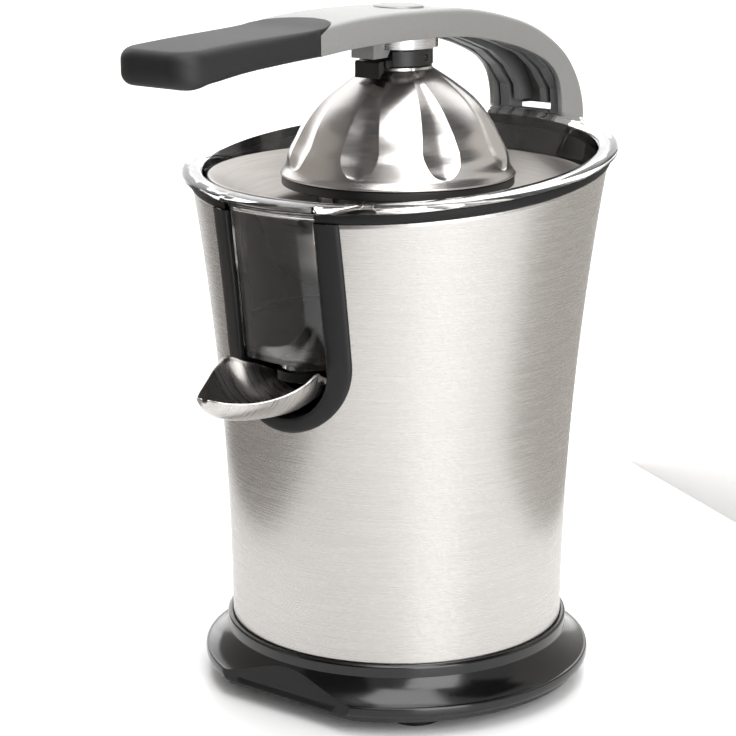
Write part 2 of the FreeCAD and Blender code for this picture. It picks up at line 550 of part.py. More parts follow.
keep("arm_cap", turned((5.0, 298.9), [(10.9, 298.9)], [(10.9, 300.8)], [(10.1, 301.3)], [(0, 301.6)],
                       [(0, 300.3)], [(5.0, 300.3)]))
keep("boss_screw", headed(2.5, 4.2, 285.5, 298.9, 1.2))

# Grip: soft charcoal handle end, rounded in plan, with a tongue on top of the arm.
GRIP_END = -157.0
CORNER = 13.0
GRIP_HALF = ARM_W / 2
bend = CORNER * (1 - math.sqrt(0.5))
plan = outline(
    (-GRIP_HALF, GRIP_Y), [(0, SEAM_Y), (GRIP_HALF, GRIP_Y)], [(GRIP_HALF, GRIP_END + CORNER)],
    [(GRIP_HALF - bend, GRIP_END + bend), (GRIP_HALF - CORNER, GRIP_END)], [(CORNER - GRIP_HALF, GRIP_END)],
    [(bend - GRIP_HALF, GRIP_END + bend), (-GRIP_HALF, GRIP_END + CORNER)],
    place=lambda x, y: vec(x, y, 270)).extrude(vec(0, 0, 50))
grip = side_plate(-30, 30, (-50, 300.8), [(-78, 298.4), (-120, 297.2), (-158, 295.4)], [(-158, 287)],
                  [(-153, 283)], [(-120, 284.8)], [(GRIP_Y, 287.3)], [(-50, 288.9)]).common(plan)
grip = grip.cut(TONGUE)
for point in GRIP_SCREWS:
    grip = grip.cut(rod(3.0, 270, 287.6, point)).cut(rod(1.5, 270, 294, point))
keep("arm_grip", grip)

# Dome mount: boss under the arm with its stem, catch bracket, hub on a cross pin.
SWIVEL_Z = 279.7
boss = rod(BOSS_R, 283.8, 289).fuse([rod(9.0, 288, 296).cut(frame), rod(6.0, 277.2, 284)])
boss = boss.cut(rod(2.5, 285.5, 300)).cut(cross_rod(1.5 + RUN_GAP, -20, 20, 0, SWIVEL_Z))
keep("dome_boss", boss)
catch = side_plate(-6, 6, (-25, 288.8), [(-25, 280.5)], [(-15.6, 280.5)], [(-13, 283.8)], [(-17.4, 283.8)],
                   [(-17.4, 288.8)])
keep("latch_bracket", catch.cut(rod(BOSS_R, 283.8, 300)))
hub = rod(HUB_R, DOME_TOP_Z, 282.8).cut(rod(6.8, 270, 290)).cut(block(-7, 7, -16, -12.2, 279.3, 290))
hub = hub.cut(cross_rod(1.5, -20, 20, 0, SWIVEL_Z))
TAB_PIN = (-16.8, 277.9)
for x0 in (-7.2, 5.2):
    ear = side_plate(x0, x0 + 2, (-13.2, 276.5), [(-13.2, 279.3)], [(-18.1, 279.3)], [(-18.1, 276.7)],
                     [(-16.4, 275.7)], [(-15.2, 276.5)])
    hub = hub.fuse(ear)
DOME_SCREWS = polar(3, 9.2, 90)
hub = hub.cut([rod(1.5, 270, 281, p) for p in DOME_SCREWS]).cut(cross_rod(1.0, -10, 10, *TAB_PIN))
keep("dome_hub", hub)
keep("swivel_pin", cross_rod(1.5, -13.5, 13.5, 0, SWIVEL_Z))

# Pressing dome: steel shell over a black liner, screwed to the hub.
SHELL = [(51.5, 229), (49.4, 232), (47.6, 238.5), (45.2, 243), (40.8, 251.6), (34.2, 260.3), (23.5, 269),
         (15, 274.6)]


def inside(inset):
    """The dome's side line moved in by inset, from the rim to the crown."""
    line = []
    for i, (r, z) in enumerate(SHELL):
        before = SHELL[max(i - 1, 0)]
        after = SHELL[min(i + 1, len(SHELL) - 1)]
        dr = after[0] - before[0]
        dz = after[1] - before[1]
        size = math.hypot(dr, dz)
        line.append((r - inset * dz / size, z + inset * dr / size))
    return line


shell_in = inside(1.0)
liner_in = inside(2.6)
shell = turned(SHELL[0], SHELL[1:], [(13.5, DOME_TOP_Z)], [(0, DOME_TOP_Z)], [(0, DOME_TOP_Z - 1)],
               [(12.6, DOME_TOP_Z - 1)], [shell_in[-1]], shell_in[-2::-1])
shell = shell.cut([rod(1.5, 270, 280, p) for p in DOME_SCREWS])
keep("dome_shell", shell)
liner = turned((50.9, 224.5), [(50.9, 228.2)], [shell_in[0]], shell_in[1:],
               [(12.6, DOME_TOP_Z - 1)], [(0, DOME_TOP_Z - 1)], [(0, DOME_TOP_Z - 2.6)],
               [(12, DOME_TOP_Z - 2.6)], [liner_in[-1]], liner_in[-2::-1], [(48.9, 224.5)])
liner = liner.cut([rod(1.5, 270, 280, p) for p in DOME_SCREWS])
keep("dome_liner", liner)
keep("dome_screws", *[headed(1.5, 2.6, DOME_TOP_Z - 2.6, 281, -1.4, p) for p in DOME_SCREWS])

# Release tab in front of the hub, on its own pin.
tab = side_plate(-6.5, 6.5, (-18.5, 279.1), [(-21.4, 279.1)], [(-21.9, 278.4)], [(-21.9, 271.9)],
                 [(-18.5, 274.8)])
tab = tab.fuse(side_plate(-4.8, 4.8, (-18.6, 279.1), [(-15.6, 279.1)], [(-15.6, 277.3)], [(-16.5, 276.4)],
                          [(-18.6, 276.0)]))
keep("release_tab", tab.fuse(cross_rod(1.0 - RUN_GAP, -7.1, 7.1, *TAB_PIN)))
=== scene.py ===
import math

import bmesh
import bpy
import numpy as np
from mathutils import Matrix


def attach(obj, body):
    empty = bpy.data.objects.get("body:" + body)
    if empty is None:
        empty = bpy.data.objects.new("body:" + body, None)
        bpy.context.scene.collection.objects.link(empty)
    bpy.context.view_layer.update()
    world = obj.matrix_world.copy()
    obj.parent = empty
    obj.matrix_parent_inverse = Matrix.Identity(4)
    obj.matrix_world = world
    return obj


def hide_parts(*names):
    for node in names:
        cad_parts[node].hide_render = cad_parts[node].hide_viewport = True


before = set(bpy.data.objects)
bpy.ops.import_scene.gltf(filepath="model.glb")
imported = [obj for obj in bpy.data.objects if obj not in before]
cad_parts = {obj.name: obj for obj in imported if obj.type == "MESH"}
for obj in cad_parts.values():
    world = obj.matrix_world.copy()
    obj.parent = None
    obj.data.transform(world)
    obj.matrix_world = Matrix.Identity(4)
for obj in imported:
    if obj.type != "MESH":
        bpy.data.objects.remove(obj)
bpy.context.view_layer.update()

# Studio: a pale table in a white room, lit by a large soft window on the right and a box
# light overhead; grey cards round the object give its bright metal dark bands to mirror.


def linear(code, alpha=1.0):
    """sRGB hex colour as linear RGBA."""
    parts = np.array([int(code[i:i + 2], 16) for i in (1, 3, 5)]) / 255
    parts = np.where(parts <= 0.04045, parts / 12.92, ((parts + 0.055) / 1.055) ** 2.4)
    return (*parts.tolist(), alpha)


def add_node(material, kind, values=(), links=(), **settings):
    """One shader node: settings are properties, values fill sockets, links join them to sources."""
    node = material.node_tree.nodes.new(kind)
    for key, value in settings.items():
        setattr(node, key, value)
    for socket, value in dict(values).items():
        node.inputs[socket].default_value = value
    for socket, source in dict(links).items():
        material.node_tree.links.new(source, node.inputs[socket])
    return node


def start_material(name, colour, roughness, metallic=0.0, extra=()):
    """Material with a principled shader; extra sets more of its sockets. Returns both."""
    material = bpy.data.materials.new(name)
    material.use_nodes = True
    shader = material.node_tree.nodes["Principled BSDF"]
    shader.inputs["Base Color"].default_value = linear(colour)
    shader.inputs["Roughness"].default_value = roughness
    shader.inputs["Metallic"].default_value = metallic
    for socket, value in dict(extra).items():
        shader.inputs[socket].default_value = value
    return material, shader


def grained(name, light, dark, rough, grain_mm, depth_mm, stretch=(1, 1, 1), spread=0.06,
            detail=4.0, metallic=0.0, extra=()):
    """One noise field of the given grain moves colour, gloss and surface; stretch draws it out."""
    low_noise, high_noise = 0.3, 0.7
    material, shader = start_material(name, light, rough, metallic, extra)
    coords = add_node(material, "ShaderNodeTexCoord").outputs["Object"]
    scale = [1000 / grain_mm / s for s in stretch]
    mapped = add_node(material, "ShaderNodeMapping", {"Scale": scale}, {"Vector": coords}).outputs[0]
    noise = add_node(material, "ShaderNodeTexNoise",
                     {"Scale": 1.0, "Detail": detail, "Roughness": 0.6},
                     {"Vector": mapped}).outputs["Fac"]
    colours = add_node(material, "ShaderNodeValToRGB", {}, {"Fac": noise})
    colours.color_ramp.elements[0].position = low_noise
    colours.color_ramp.elements[0].color = linear(dark)
    colours.color_ramp.elements[1].position = high_noise
    colours.color_ramp.elements[1].color = linear(light)
    gloss = add_node(material, "ShaderNodeMapRange",
                     {"From Min": low_noise, "From Max": high_noise,
                      "To Min": max(rough - spread, 0.02), "To Max": rough + spread},
                     {"Value": noise})
    bump = add_node(material, "ShaderNodeBump", {"Strength": 0.6, "Distance": depth_mm / 1000},
                    {"Height": noise})
    links = material.node_tree.links
    links.new(colours.outputs[0], shader.inputs["Base Color"])
    links.new(gloss.outputs[0], shader.inputs["Roughness"])
    links.new(bump.outputs[0], shader.inputs["Normal"])
    return material


def surface(name, points, material, wrap_u=False, wrap_v=False, sharp=35, wall=None):
    """Mesh over a grid of points in mm; wrapped directions close, ends weld, wall thickens."""
    rows, cols = points.shape[:2]
    index = np.arange(rows * cols).reshape(rows, cols)
    if wrap_u:
        index = np.vstack([index, index[:1]])
    if wrap_v:
        index = np.hstack([index, index[:, :1]])
    corners = [index[:-1, :-1], index[1:, :-1], index[1:, 1:], index[:-1, 1:]]
    quads = np.stack(corners, -1).reshape(-1, 4)
    mesh = bpy.data.meshes.new(name)
    mesh.from_pydata((points.reshape(-1, 3) / 1000).tolist(), [], quads.tolist())
    welded = bmesh.new()
    welded.from_mesh(mesh)
    bmesh.ops.remove_doubles(welded, verts=welded.verts, dist=2e-6)
    bmesh.ops.dissolve_degenerate(welded, edges=welded.edges, dist=1e-7)
    bmesh.ops.recalc_face_normals(welded, faces=welded.faces)
    welded.to_mesh(mesh)
    welded.free()
    mesh.shade_smooth()
    mesh.set_sharp_from_angle(angle=math.radians(sharp))
    mesh.materials.append(material)
    piece = bpy.data.objects.new(name, mesh)
    bpy.context.collection.objects.link(piece)
    if wall:
        solid = piece.modifiers.new("wall", "SOLIDIFY")
        solid.thickness = wall / 1000
        solid.offset = -1
    return piece


def place(piece, body, slot, *nodes):
    """The piece rides on a body and stands for CAD nodes, which it hides; slot is not used."""
    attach(piece, body)
    if nodes:
        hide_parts(*nodes)
    return piece


def dress(material, *nodes):
    """Give CAD nodes a material in place of their plain one."""
    for node in nodes:
        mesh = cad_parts[node].data
        mesh.materials.clear()
        mesh.materials.append(material)


# White laminate: satin, so the base leaves a short soft mirror image on it.
table_top, table_shader = start_material("matt_white_table", "#FFFFFF", 0.32,
                                         extra={"Specular IOR Level": 0.35})
coords = add_node(table_top, "ShaderNodeTexCoord").outputs["Object"]
haze = add_node(table_top, "ShaderNodeTexNoise", {"Scale": 9.0, "Detail": 3.0}, {"Vector": coords})
sheen = add_node(table_top, "ShaderNodeMapRange", {"To Min": 0.26, "To Max": 0.38},
                 {"Value": haze.outputs["Fac"]})
table_top.node_tree.links.new(sheen.outputs[0], table_shader.inputs["Roughness"])
TABLE_REACH = 6000
TABLE_DROP = 0.02            # below the feet, so that the two do not share a plane
reaches = np.linspace(-TABLE_REACH, TABLE_REACH, 3)
across, along = np.meshgrid(reaches, reaches, indexing="ij")
floor = surface("floor", np.stack([across, along, 0 * across - TABLE_DROP], -1), table_top)
floor.data.flip_normals()

world = bpy.data.worlds.new("white_room")
bpy.context.scene.world = world
world.use_nodes = True
world.node_tree.nodes["Background"].inputs["Color"].default_value = linear("#FFFFFF")
world.node_tree.nodes["Background"].inputs["Strength"].default_value = 0.62
bpy.context.scene.view_settings.view_transform = "Standard"

VIEW_TURN = 37.4             # degrees from the front to the camera, towards +X
AIM_HEIGHT = 0.15            # metres, the middle of the object


def soft_light(name, turn, height, reach, width, tall, power):
    """Rectangular lamp, turn degrees right of the camera, that faces the object's middle."""
    lamp = bpy.data.lights.new(name, "AREA")
    lamp.shape = "RECTANGLE"
    lamp.size = width
    lamp.size_y = tall
    lamp.energy = power
    holder = bpy.data.objects.new(name, lamp)
    angle = math.radians(VIEW_TURN + turn)
    holder.location = (reach * math.sin(angle), -reach * math.cos(angle), height)
    aim = math.atan2(height - AIM_HEIGHT, reach)
    holder.rotation_euler = (math.pi / 2 - aim, 0, angle)
    bpy.context.collection.objects.link(holder)


def card(name, turn, reach, width, low, high, colour, glow=0.0, foot=None):
    """Card that the metal mirrors, turn degrees right of the camera, with its foot this far out.

    Only a glowing card is seen by the camera, so that no dull one hides the object.
    """
    angle = math.radians(VIEW_TURN + turn)
    outward = np.array([math.sin(angle), -math.cos(angle)]) * 1000
    side = np.array([math.cos(angle), math.sin(angle)]) * width * 500
    edges = ((foot or reach, low * 1000), (reach, high * 1000))
    grid = np.array([[[*(outward * far + side * s), z] for far, z in edges] for s in (-1, 1)])
    lit = {"Emission Color": linear(colour), "Emission Strength": glow}
    finish, _ = start_material(name, colour, 0.9, extra=lit)
    board = surface(name, grid, finish)
    board.visible_camera = glow > 0


soft_light("window", 26, 1.0, 2.2, 1.3, 2.2, 42)
soft_light("top_box", 8, 2.0, 0.35, 1.1, 2.4, 34)
card("left_card", -95, 0.55, 0.5, 0.0, 0.6, "#8A8683", foot=0.26)
card("left_front_card", -45, 0.5, 0.5, 0.02, 0.8, "#4A4744")
card("left_high_card", -80, 0.7, 0.9, 0.6, 1.6, "#5E5B58")
card("right_card", 112, 0.5, 0.5, 0.0, 0.5, "#BDBAB6", foot=0.25)
card("right_high_card", 80, 1.0, 1.1, 0.75, 2.2, "#1C1C1C")
card("backdrop", 180, 3.0, 9.0, -0.02, 5.0, "#FFFFFF", 1.0)

LENS_AT = (0.6074, -0.7944, 0.3971)  # a metre out from the upright axis, at VIEW_TURN
VIEW_DROP = 14.4             # degrees that the lens looks down
VIEW_ASIDE = 0.75            # degrees that it looks left of the axis
camera = bpy.data.objects.new("camera", bpy.data.cameras.new("camera"))
camera.location = LENS_AT
camera.rotation_euler = (math.radians(90 - VIEW_DROP), 0, math.radians(VIEW_TURN + VIEW_ASIDE))
camera.data.lens = 113.16
camera.data.sensor_width = 36
camera.data.clip_start = 0.05
bpy.context.collection.objects.link(camera)
bpy.context.scene.camera = camera

# Steel body: one millimetre stainless sheet, rolled, flared towards the tilted rim and
# brushed round the axis; the front is cut open for the bowl's chamber and the spout.
HOUSING_FOOT_R = 74.5
HOUSING_FOOT_Z = 28.0
HOUSING_FLARE = 2550.0
RIM_TILT = math.radians(5.8)
RIM_Y = 1.6
RIM_Z = 230.3
CUT_HALF = 27.3
CUT_Z = 158.1
BODY_LOW = 25.5              # the sheet's lower edge, inside the base
SHEET = 1.0


def housing_r(z):
    """Radius of the steel body's outside: its foot plus a part that grows with height squared."""
    return HOUSING_FOOT_R + (z - HOUSING_FOOT_Z) ** 2 / HOUSING_FLARE


def rim_plane(y):
    """Height of the tilted edge plane at a distance behind the axis."""
    return RIM_Z + np.tan(RIM_TILT) * (y - RIM_Y)


def open_half(z, half, centre_z):
    """Half width of the round-bottomed front opening at each height."""
    drop = np.clip(centre_z - z, 0, half)
    return np.where(z < centre_z - half, 0, np.sqrt(half ** 2 - drop ** 2))


def ring_angles(gap, count):
    """Angles from the front once round, starting and ending at half-angle gap."""
    part = np.linspace(0, 1, count)
    return -math.pi / 2 + gap + part * (2 * math.pi - 2 * gap)


# Brushed stainless: hair lines round the body and soft upright bands of light. The lines
# are drawn coarser than real ones, so that they show.
body_steel = grained("brushed_stainless_body", "#C2BFBC", "#B9B6B3", 0.27, 0.6, 0.0015,
                     stretch=(45, 45, 1), spread=0.03, detail=3.0, metallic=1.0,
                     extra={"Anisotropic": 0.8})


def add_turning(material, axis="Z"):
    """Brushing runs round the axis, so highlights stretch along it."""
    shader = material.node_tree.nodes["Principled BSDF"]
    tangent = add_node(material, "ShaderNodeTangent", direction_type="RADIAL", axis=axis)
    material.node_tree.links.new(tangent.outputs[0], shader.inputs["Tangent"])


add_turning(body_steel)
around, low_rows, high_rows = 361, 30, 70
cut_low = CUT_Z - CUT_HALF
whole_turn = np.linspace(-math.pi / 2, 1.5 * math.pi, around)[None]
low_height = np.repeat(np.linspace(BODY_LOW, cut_low, low_rows)[:, None], around, 1)
climb = 1 - np.cos(np.linspace(0, 0.5, high_rows) * math.pi)
edge_reach = housing_r(225)
theta = np.repeat(whole_turn, high_rows, 0)
for _ in range(12):          # the edge's height and the opening's width settle together
    top = rim_plane(edge_reach * np.sin(theta))
    height = cut_low + climb[:, None] * (top - cut_low)
    gap = np.arcsin(open_half(height, CUT_HALF, CUT_Z) / housing_r(height))
    theta = ring_angles(gap, around)
theta = np.vstack([np.repeat(whole_turn, low_rows - 1, 0), theta])
height = np.vstack([low_height[:-1], height])
radius = housing_r(height)
shell = np.stack([radius * np.cos(theta), radius * np.sin(theta), height], -1)
place(surface("brushed_body", shell, body_steel, wall=SHEET), "base_unit", "brushed_body_steel",
      "steel_body")

# Base: glossy black moulded skirt that flares from the body to a rounded lip, with a
# satin flat cut across its front; it clips over the body's lower edge.
BASE_R = 87.3
LIP_Z = 9.0
FACET_Y = 80.0
FACET_LEAN = 2.6 / 14.5      # the facet leans back by this much for each mm of height
INNER_ROWS = 4               # profile points on the skirt's inside, set back from the facet
INNER_STEP = 2.5


def rounded(corners, steps=5):
    """Polyline of (a, b, fillet radius) corners, each turned into a short curve of points."""
    points = []
    for i, (a, b, r) in enumerate(corners):
        here = np.array([a, b], float)
        if r <= 0 or i in (0, len(corners) - 1):
            points.append(here[None])
            continue
        before = np.array(corners[i - 1][:2], float) - here
        after = np.array(corners[i + 1][:2], float) - here
        start = here + before / np.linalg.norm(before) * min(r, np.linalg.norm(before) * 0.49)
        end = here + after / np.linalg.norm(after) * min(r, np.linalg.norm(after) * 0.49)
        t = np.linspace(0, 1, steps)[:, None]
        points.append((1 - t) ** 2 * start + 2 * t * (1 - t) * here + t ** 2 * end)
    return np.vstack(points)


def arc_line(start, middle, end, count):
    """Points on the circle through three points, from start to end, without the end."""
    (ax, ay), (bx, by), (cx, cy) = start, middle, end
    d = 2 * (ax * (by - cy) + bx * (cy - ay) + cx * (ay - by))
    sq = [ax * ax + ay * ay, bx * bx + by * by, cx * cx + cy * cy]
    ox = (sq[0] * (by - cy) + sq[1] * (cy - ay) + sq[2] * (ay - by)) / d
    oy = (sq[0] * (cx - bx) + sq[1] * (ax - cx) + sq[2] * (bx - ax)) / d
    r = math.hypot(ax - ox, ay - oy)
    a0, a1 = (math.atan2(y - oy, x - ox) for x, y in (start, end))
    a1 += round((a0 - a1) / (2 * math.pi)) * 2 * math.pi
    a = np.linspace(a0, a1, count)
    return np.stack([ox + r * np.cos(a), oy + r * np.sin(a)], 1)


def turned(profile, count=257, at=(0, 0)):
    """Grid of a profile of (radius, height) carried once round an upright axis."""
    a = np.linspace(0, 2 * math.pi, count)[:-1]
    ring = np.stack([np.cos(a), np.sin(a)], 1)
    flat = profile[:, None, :1] * ring[None] + np.array(at)
    tall = np.repeat(profile[:, None, 1:], len(a), 1)
    return np.concatenate([flat, tall], -1)


flare = arc_line((85.7, 13.6), (80.6, 17.8), (77.0, 23.5), 22)
skirt_line = np.vstack([
    rounded([(84.3, 11.6, 0), (84.3, LIP_Z, 0.2), (BASE_R - 0.4, LIP_Z, 0.9), (BASE_R, 11.3, 1.2),
             (BASE_R - 0.4, 13.6, 0.7), (85.9, 13.6, 0)]),
    flare,
    rounded([(77.0, 23.6, 0), (77.0, 28.0, 0.6), (76.0, 28.8, 0.4), (74.9, 28.8, 0.2),
             (74.7, 24.9, 0), (73.0, 24.9, 0), (73.0, 21.5, 0), (84.3, 11.6, 0)])])
front_cols = np.linspace(-1, 1, 61)
back_cols = np.linspace(0, 1, 200)[1:-1]
facet_y = FACET_Y - (skirt_line[:, 1] - LIP_Z) * FACET_LEAN
inner_row = np.arange(len(skirt_line)) >= len(skirt_line) - INNER_ROWS
facet_y = np.where(inner_row, facet_y - INNER_STEP, facet_y)
edge = np.arccos(np.clip(facet_y / skirt_line[:, 0], -1, 1 - 1e-5))
inside_front = front_cols[None] * edge[:, None]
behind = edge[:, None] + back_cols[None] * (2 * math.pi - 2 * edge[:, None])
turn = np.hstack([inside_front, behind])
reach = np.repeat(skirt_line[:, :1], turn.shape[1], 1)
flat_reach = facet_y[:, None] / np.maximum(np.cos(turn), 1e-6)
from_front = np.abs(np.angle(np.exp(1j * turn)))
reach = np.where(from_front <= edge[:, None] + 1e-9, np.minimum(reach, flat_reach), reach)
skirt_z = np.repeat(skirt_line[:, 1:], turn.shape[1], 1)
skirt = np.stack([reach * np.sin(turn), -reach * np.cos(turn), skirt_z], -1)
# Polished ABS: near black, with clear narrow reflections of the lamps.
gloss_black = grained("moulded_gloss_black", "#070708", "#050506", 0.16, 1.6, 0.003, spread=0.03,
                      extra={"Specular IOR Level": 0.55})
# The same ABS from a spark-textured mould: a flat dark grey with no clear reflection.
satin_black = grained("moulded_satin_black", "#131314", "#0F0F10", 0.42, 0.9, 0.006, spread=0.05,
                      extra={"Specular IOR Level": 0.4})
base = surface("base_skirt_shell", skirt, gloss_black, wrap_v=True, sharp=28)
base.data.materials.append(satin_black)
flat_centres = np.empty(len(base.data.polygons) * 3)
base.data.polygons.foreach_get("center", flat_centres)
centres = flat_centres.reshape(-1, 3) * 1000
leaning = FACET_Y - (centres[:, 2] - LIP_Z) * FACET_LEAN
on_facet = (np.abs(centres[:, 1] + leaning) < 0.06) & (centres[:, 2] > LIP_Z)
base.data.polygons.foreach_set("material_index", on_facet.astype(np.int32))
place(base, "base_unit", "gloss_black_base", "base_skirt")

# Front opening's bezel: satin black band round the opening, proud of the steel, with a
# tunnel that lines the cut sheet and carries the spout's pins.
NOTCH_Z = 162.0
NOTCH_OUTER = 33.5
NOTCH_INNER = 23.3
NOTCH_TOP = 221.6
TUNNEL_TOP = 158.0
TUNNEL_STEP = 3.9            # the tunnel's outline is this much inside the band's


def arch_line(half, centre_z, top_z, count):
    """Points (x, z) down one straight side, round the half circle and up the other."""
    side = np.linspace(top_z, centre_z, count)[:-1]
    a = np.linspace(0, math.pi, 2 * count)
    bend = np.stack([half * np.cos(a), centre_z - half * np.sin(a)], 1)
    right = np.stack([np.full(count - 1, half), side], 1)
    left = np.stack([np.full(count - 1, -half), side[::-1]], 1)
    return np.vstack([right, bend, left])


band = np.array([  # share of the way across from the opening, mm out from the steel's surface
    (0.0, -3.6), (0.0, 0.6), (0.02, 1.0), (0.06, 1.25), (0.14, 1.4), (0.3, 1.42), (0.6, 1.42),
    (0.86, 1.4), (0.94, 1.3), (0.985, 1.0), (1.0, 0.5), (1.0, 0.06), (0.3, 0.06), (0.3, -3.6)])
inner_arch = arch_line(NOTCH_INNER, CUT_Z, NOTCH_TOP, 24)
outer_arch = arch_line(NOTCH_OUTER, NOTCH_Z, NOTCH_TOP, 24)
flat = inner_arch[None] + (outer_arch - inner_arch)[None] * band[:, :1, None]
reach = housing_r(flat[..., 1]) + band[:, 1:]
trim = np.stack([flat[..., 0], -np.sqrt(reach ** 2 - flat[..., 0] ** 2), flat[..., 1]], -1)
# Satin ABS: even black with a faint grey bloom along its rounded edges.
trim_black = grained("moulded_satin_trim", "#121213", "#0D0D0E", 0.40, 0.8, 0.005, spread=0.05,
                     extra={"Specular IOR Level": 0.35})
place(surface("notch_band", trim, trim_black, wrap_u=True, sharp=50), "base_unit",
      "black_trim_plastic", "notch_trim")
deep = np.array([(0.0, -10.0), (0.0, -3.4), (0.28, -3.4), (0.28, -10.0)])
low_inner = arch_line(NOTCH_INNER, CUT_Z, TUNNEL_TOP, 6)
low_outer = arch_line(NOTCH_OUTER - TUNNEL_STEP, CUT_Z, TUNNEL_TOP, 6)
flat = low_inner[None] + (low_outer - low_inner)[None] * deep[:, :1, None]
reach = housing_r(flat[..., 1]) + deep[:, 1:]
tunnel = np.stack([flat[..., 0], -np.sqrt(reach ** 2 - flat[..., 0] ** 2), flat[..., 1]], -1)
place(surface("notch_tunnel", tunnel, trim_black, wrap_u=True), "base_unit", "black_trim_plastic",
      "notch_trim")

# Rim ring: black rubber between the steel edge and the bowl's flange, tilted with the
# rim and open at the front chamber.
GASKET_H = 4.6
GASKET_GAP = math.asin(23.7 / 90)  # half angle of its open part


def tilted(points, weight=1.0):
    """Move points from the level rim frame to the tilted one, by weight where it is partial."""
    x, y, z = points[..., 0], points[..., 1], points[..., 2]
    c, s = math.cos(RIM_TILT), math.sin(RIM_TILT)
    leaned = np.stack([x, y * c - z * s + RIM_Y, y * s + z * c + RIM_Z], -1)
    level = points + np.array([0, 0, RIM_Z])
    weight = np.asarray(weight)[..., None]
    return level * (1 - weight) + leaned * weight


ring_line = rounded([(88.6, 0.1, 0), (91.6, 0.1, 0.6), (92.0, 2.4, 1.5),
                     (91.6, GASKET_H - 0.1, 0.6), (88.6, GASKET_H - 0.1, 0)], 6)
turn = ring_angles(GASKET_GAP, 240)
ring = np.stack([ring_line[:, :1] * np.cos(turn), ring_line[:, :1] * np.sin(turn),
                 np.repeat(ring_line[:, 1:], len(turn), 1)], -1)
# Moulded rubber: matt black, so it reads as a thin shadow line under the flange.
black_rubber = grained("moulded_black_rubber", "#0B0B0B", "#080808", 0.55, 0.7, 0.01, spread=0.06,
                       extra={"Specular IOR Level": 0.3})
place(surface("rim_ring", tilted(ring), black_rubber, wrap_u=True), "base_unit", "black_rubber",
      "rim_gasket")

# Juice bowl: clear moulded plastic. Level floor and wall, a ledge for the strainer, a
# wall that leans out to the tilted flange, and a flat-sided chamber at the front.
BOWL_FLOOR = 158.0
CHAMBER_HALF = 22.8
CHAMBER_WALL = 2.0
CHAMBER_COLS = 25            # columns of the grid that cross the chamber's front
CHAMBER_GAP = 0.8            # clear of the steel body's outside
FLANGE_TOP = GASKET_H + 3.2
# Each point: radius, height (level) or lift above the rim plane (tilted), weight of the
# tilt, and 1 on the chamber's outer wall or 2 on its inner one.
line = np.array([
    (13.5, BOWL_FLOOR, 0, 0), (13.5, 200.0, 0, 0), (15.5, 200.0, 0, 0), (15.5, 161.2, 0, 0),
    (16.7, 160.0, 0, 0), (72.5, 160.0, 0, 2), (74.8, 161.6, 0, 2), (76.5, 180.0, 0, 2),
    (78.3, 201.0, 0, 2), (80.0, 222.0, 0, 2), (80.4, 226.0, 0, 0), (83.4, 226.0, 0, 0),
    (83.8, 226.4, 0, 0), (86.9, FLANGE_TOP - 0.9, 1, 0), (87.4, FLANGE_TOP - 0.2, 1, 0),
    (88.0, FLANGE_TOP, 1, 0), (91.0, FLANGE_TOP + 0.1, 1, 0), (93.6, FLANGE_TOP - 0.1, 1, 0),
    (94.7, FLANGE_TOP - 0.7, 1, 0), (95.2, FLANGE_TOP - 1.6, 1, 0), (95.1, FLANGE_TOP - 2.6, 1, 0),
    (94.4, GASKET_H + 0.1, 1, 0), (93.6, GASKET_H, 1, 0), (87.9, GASKET_H, 1, 0),
    (86.6, 226.6, 0, 1), (85.8, 224.2, 0, 1), (82.4, 221.7, 0, 1), (80.6, 201.0, 0, 1),
    (78.7, 180.0, 0, 1), (76.9, 160.6, 0, 1), (75.4, BOWL_FLOOR, 0, 1)])
line[:, 1] -= np.where(line[:, 2] > 0, 0, RIM_Z)
line = np.vstack([
    line[:5], np.linspace(line[4], line[5], 10)[1:], line[6:13],
    np.linspace(line[12], line[13], 8)[1:], line[14:24], np.linspace(line[23], line[24], 8)[1:],
    line[25:], np.linspace(line[30], line[0], 10)[1:-1]])
wall_step = np.where(line[:, 3] == 2, CHAMBER_WALL, 0.0)
half_at = CHAMBER_HALF - wall_step
inner_cols = np.linspace(-1, 1, CHAMBER_COLS)
gap = np.arcsin(np.clip(half_at / np.maximum(line[:, 0], 40), 0, 0.9))
gap = np.where(line[:, 3] > 0, gap, math.asin(CHAMBER_HALF / 80))
outer_cols = np.linspace(0, 1, 215)
turn = np.hstack([inner_cols[None] * gap[:, None],
                  gap[:, None] + outer_cols[None] * (2 * math.pi - 2 * gap[:, None])])
level_z = line[:, 1] + RIM_Z
bulged = housing_r(level_z) - CHAMBER_GAP - wall_step
in_chamber = np.zeros(turn.shape, bool)
in_chamber[:, :CHAMBER_COLS] = True
in_chamber &= (line[:, 3] > 0)[:, None]
side_x = line[:, :1] * np.sin(turn)
reach_y = -line[:, :1] * np.cos(turn)
chamber_y = -np.sqrt(np.maximum(bulged[:, None] ** 2 - side_x ** 2, 0))
reach_y = np.where(in_chamber, chamber_y, reach_y)
bowl = np.stack([side_x, reach_y, np.repeat(line[:, 1:2], turn.shape[1], 1)], -1)
bowl = tilted(bowl, np.repeat(line[:, 2:3], turn.shape[1], 1))


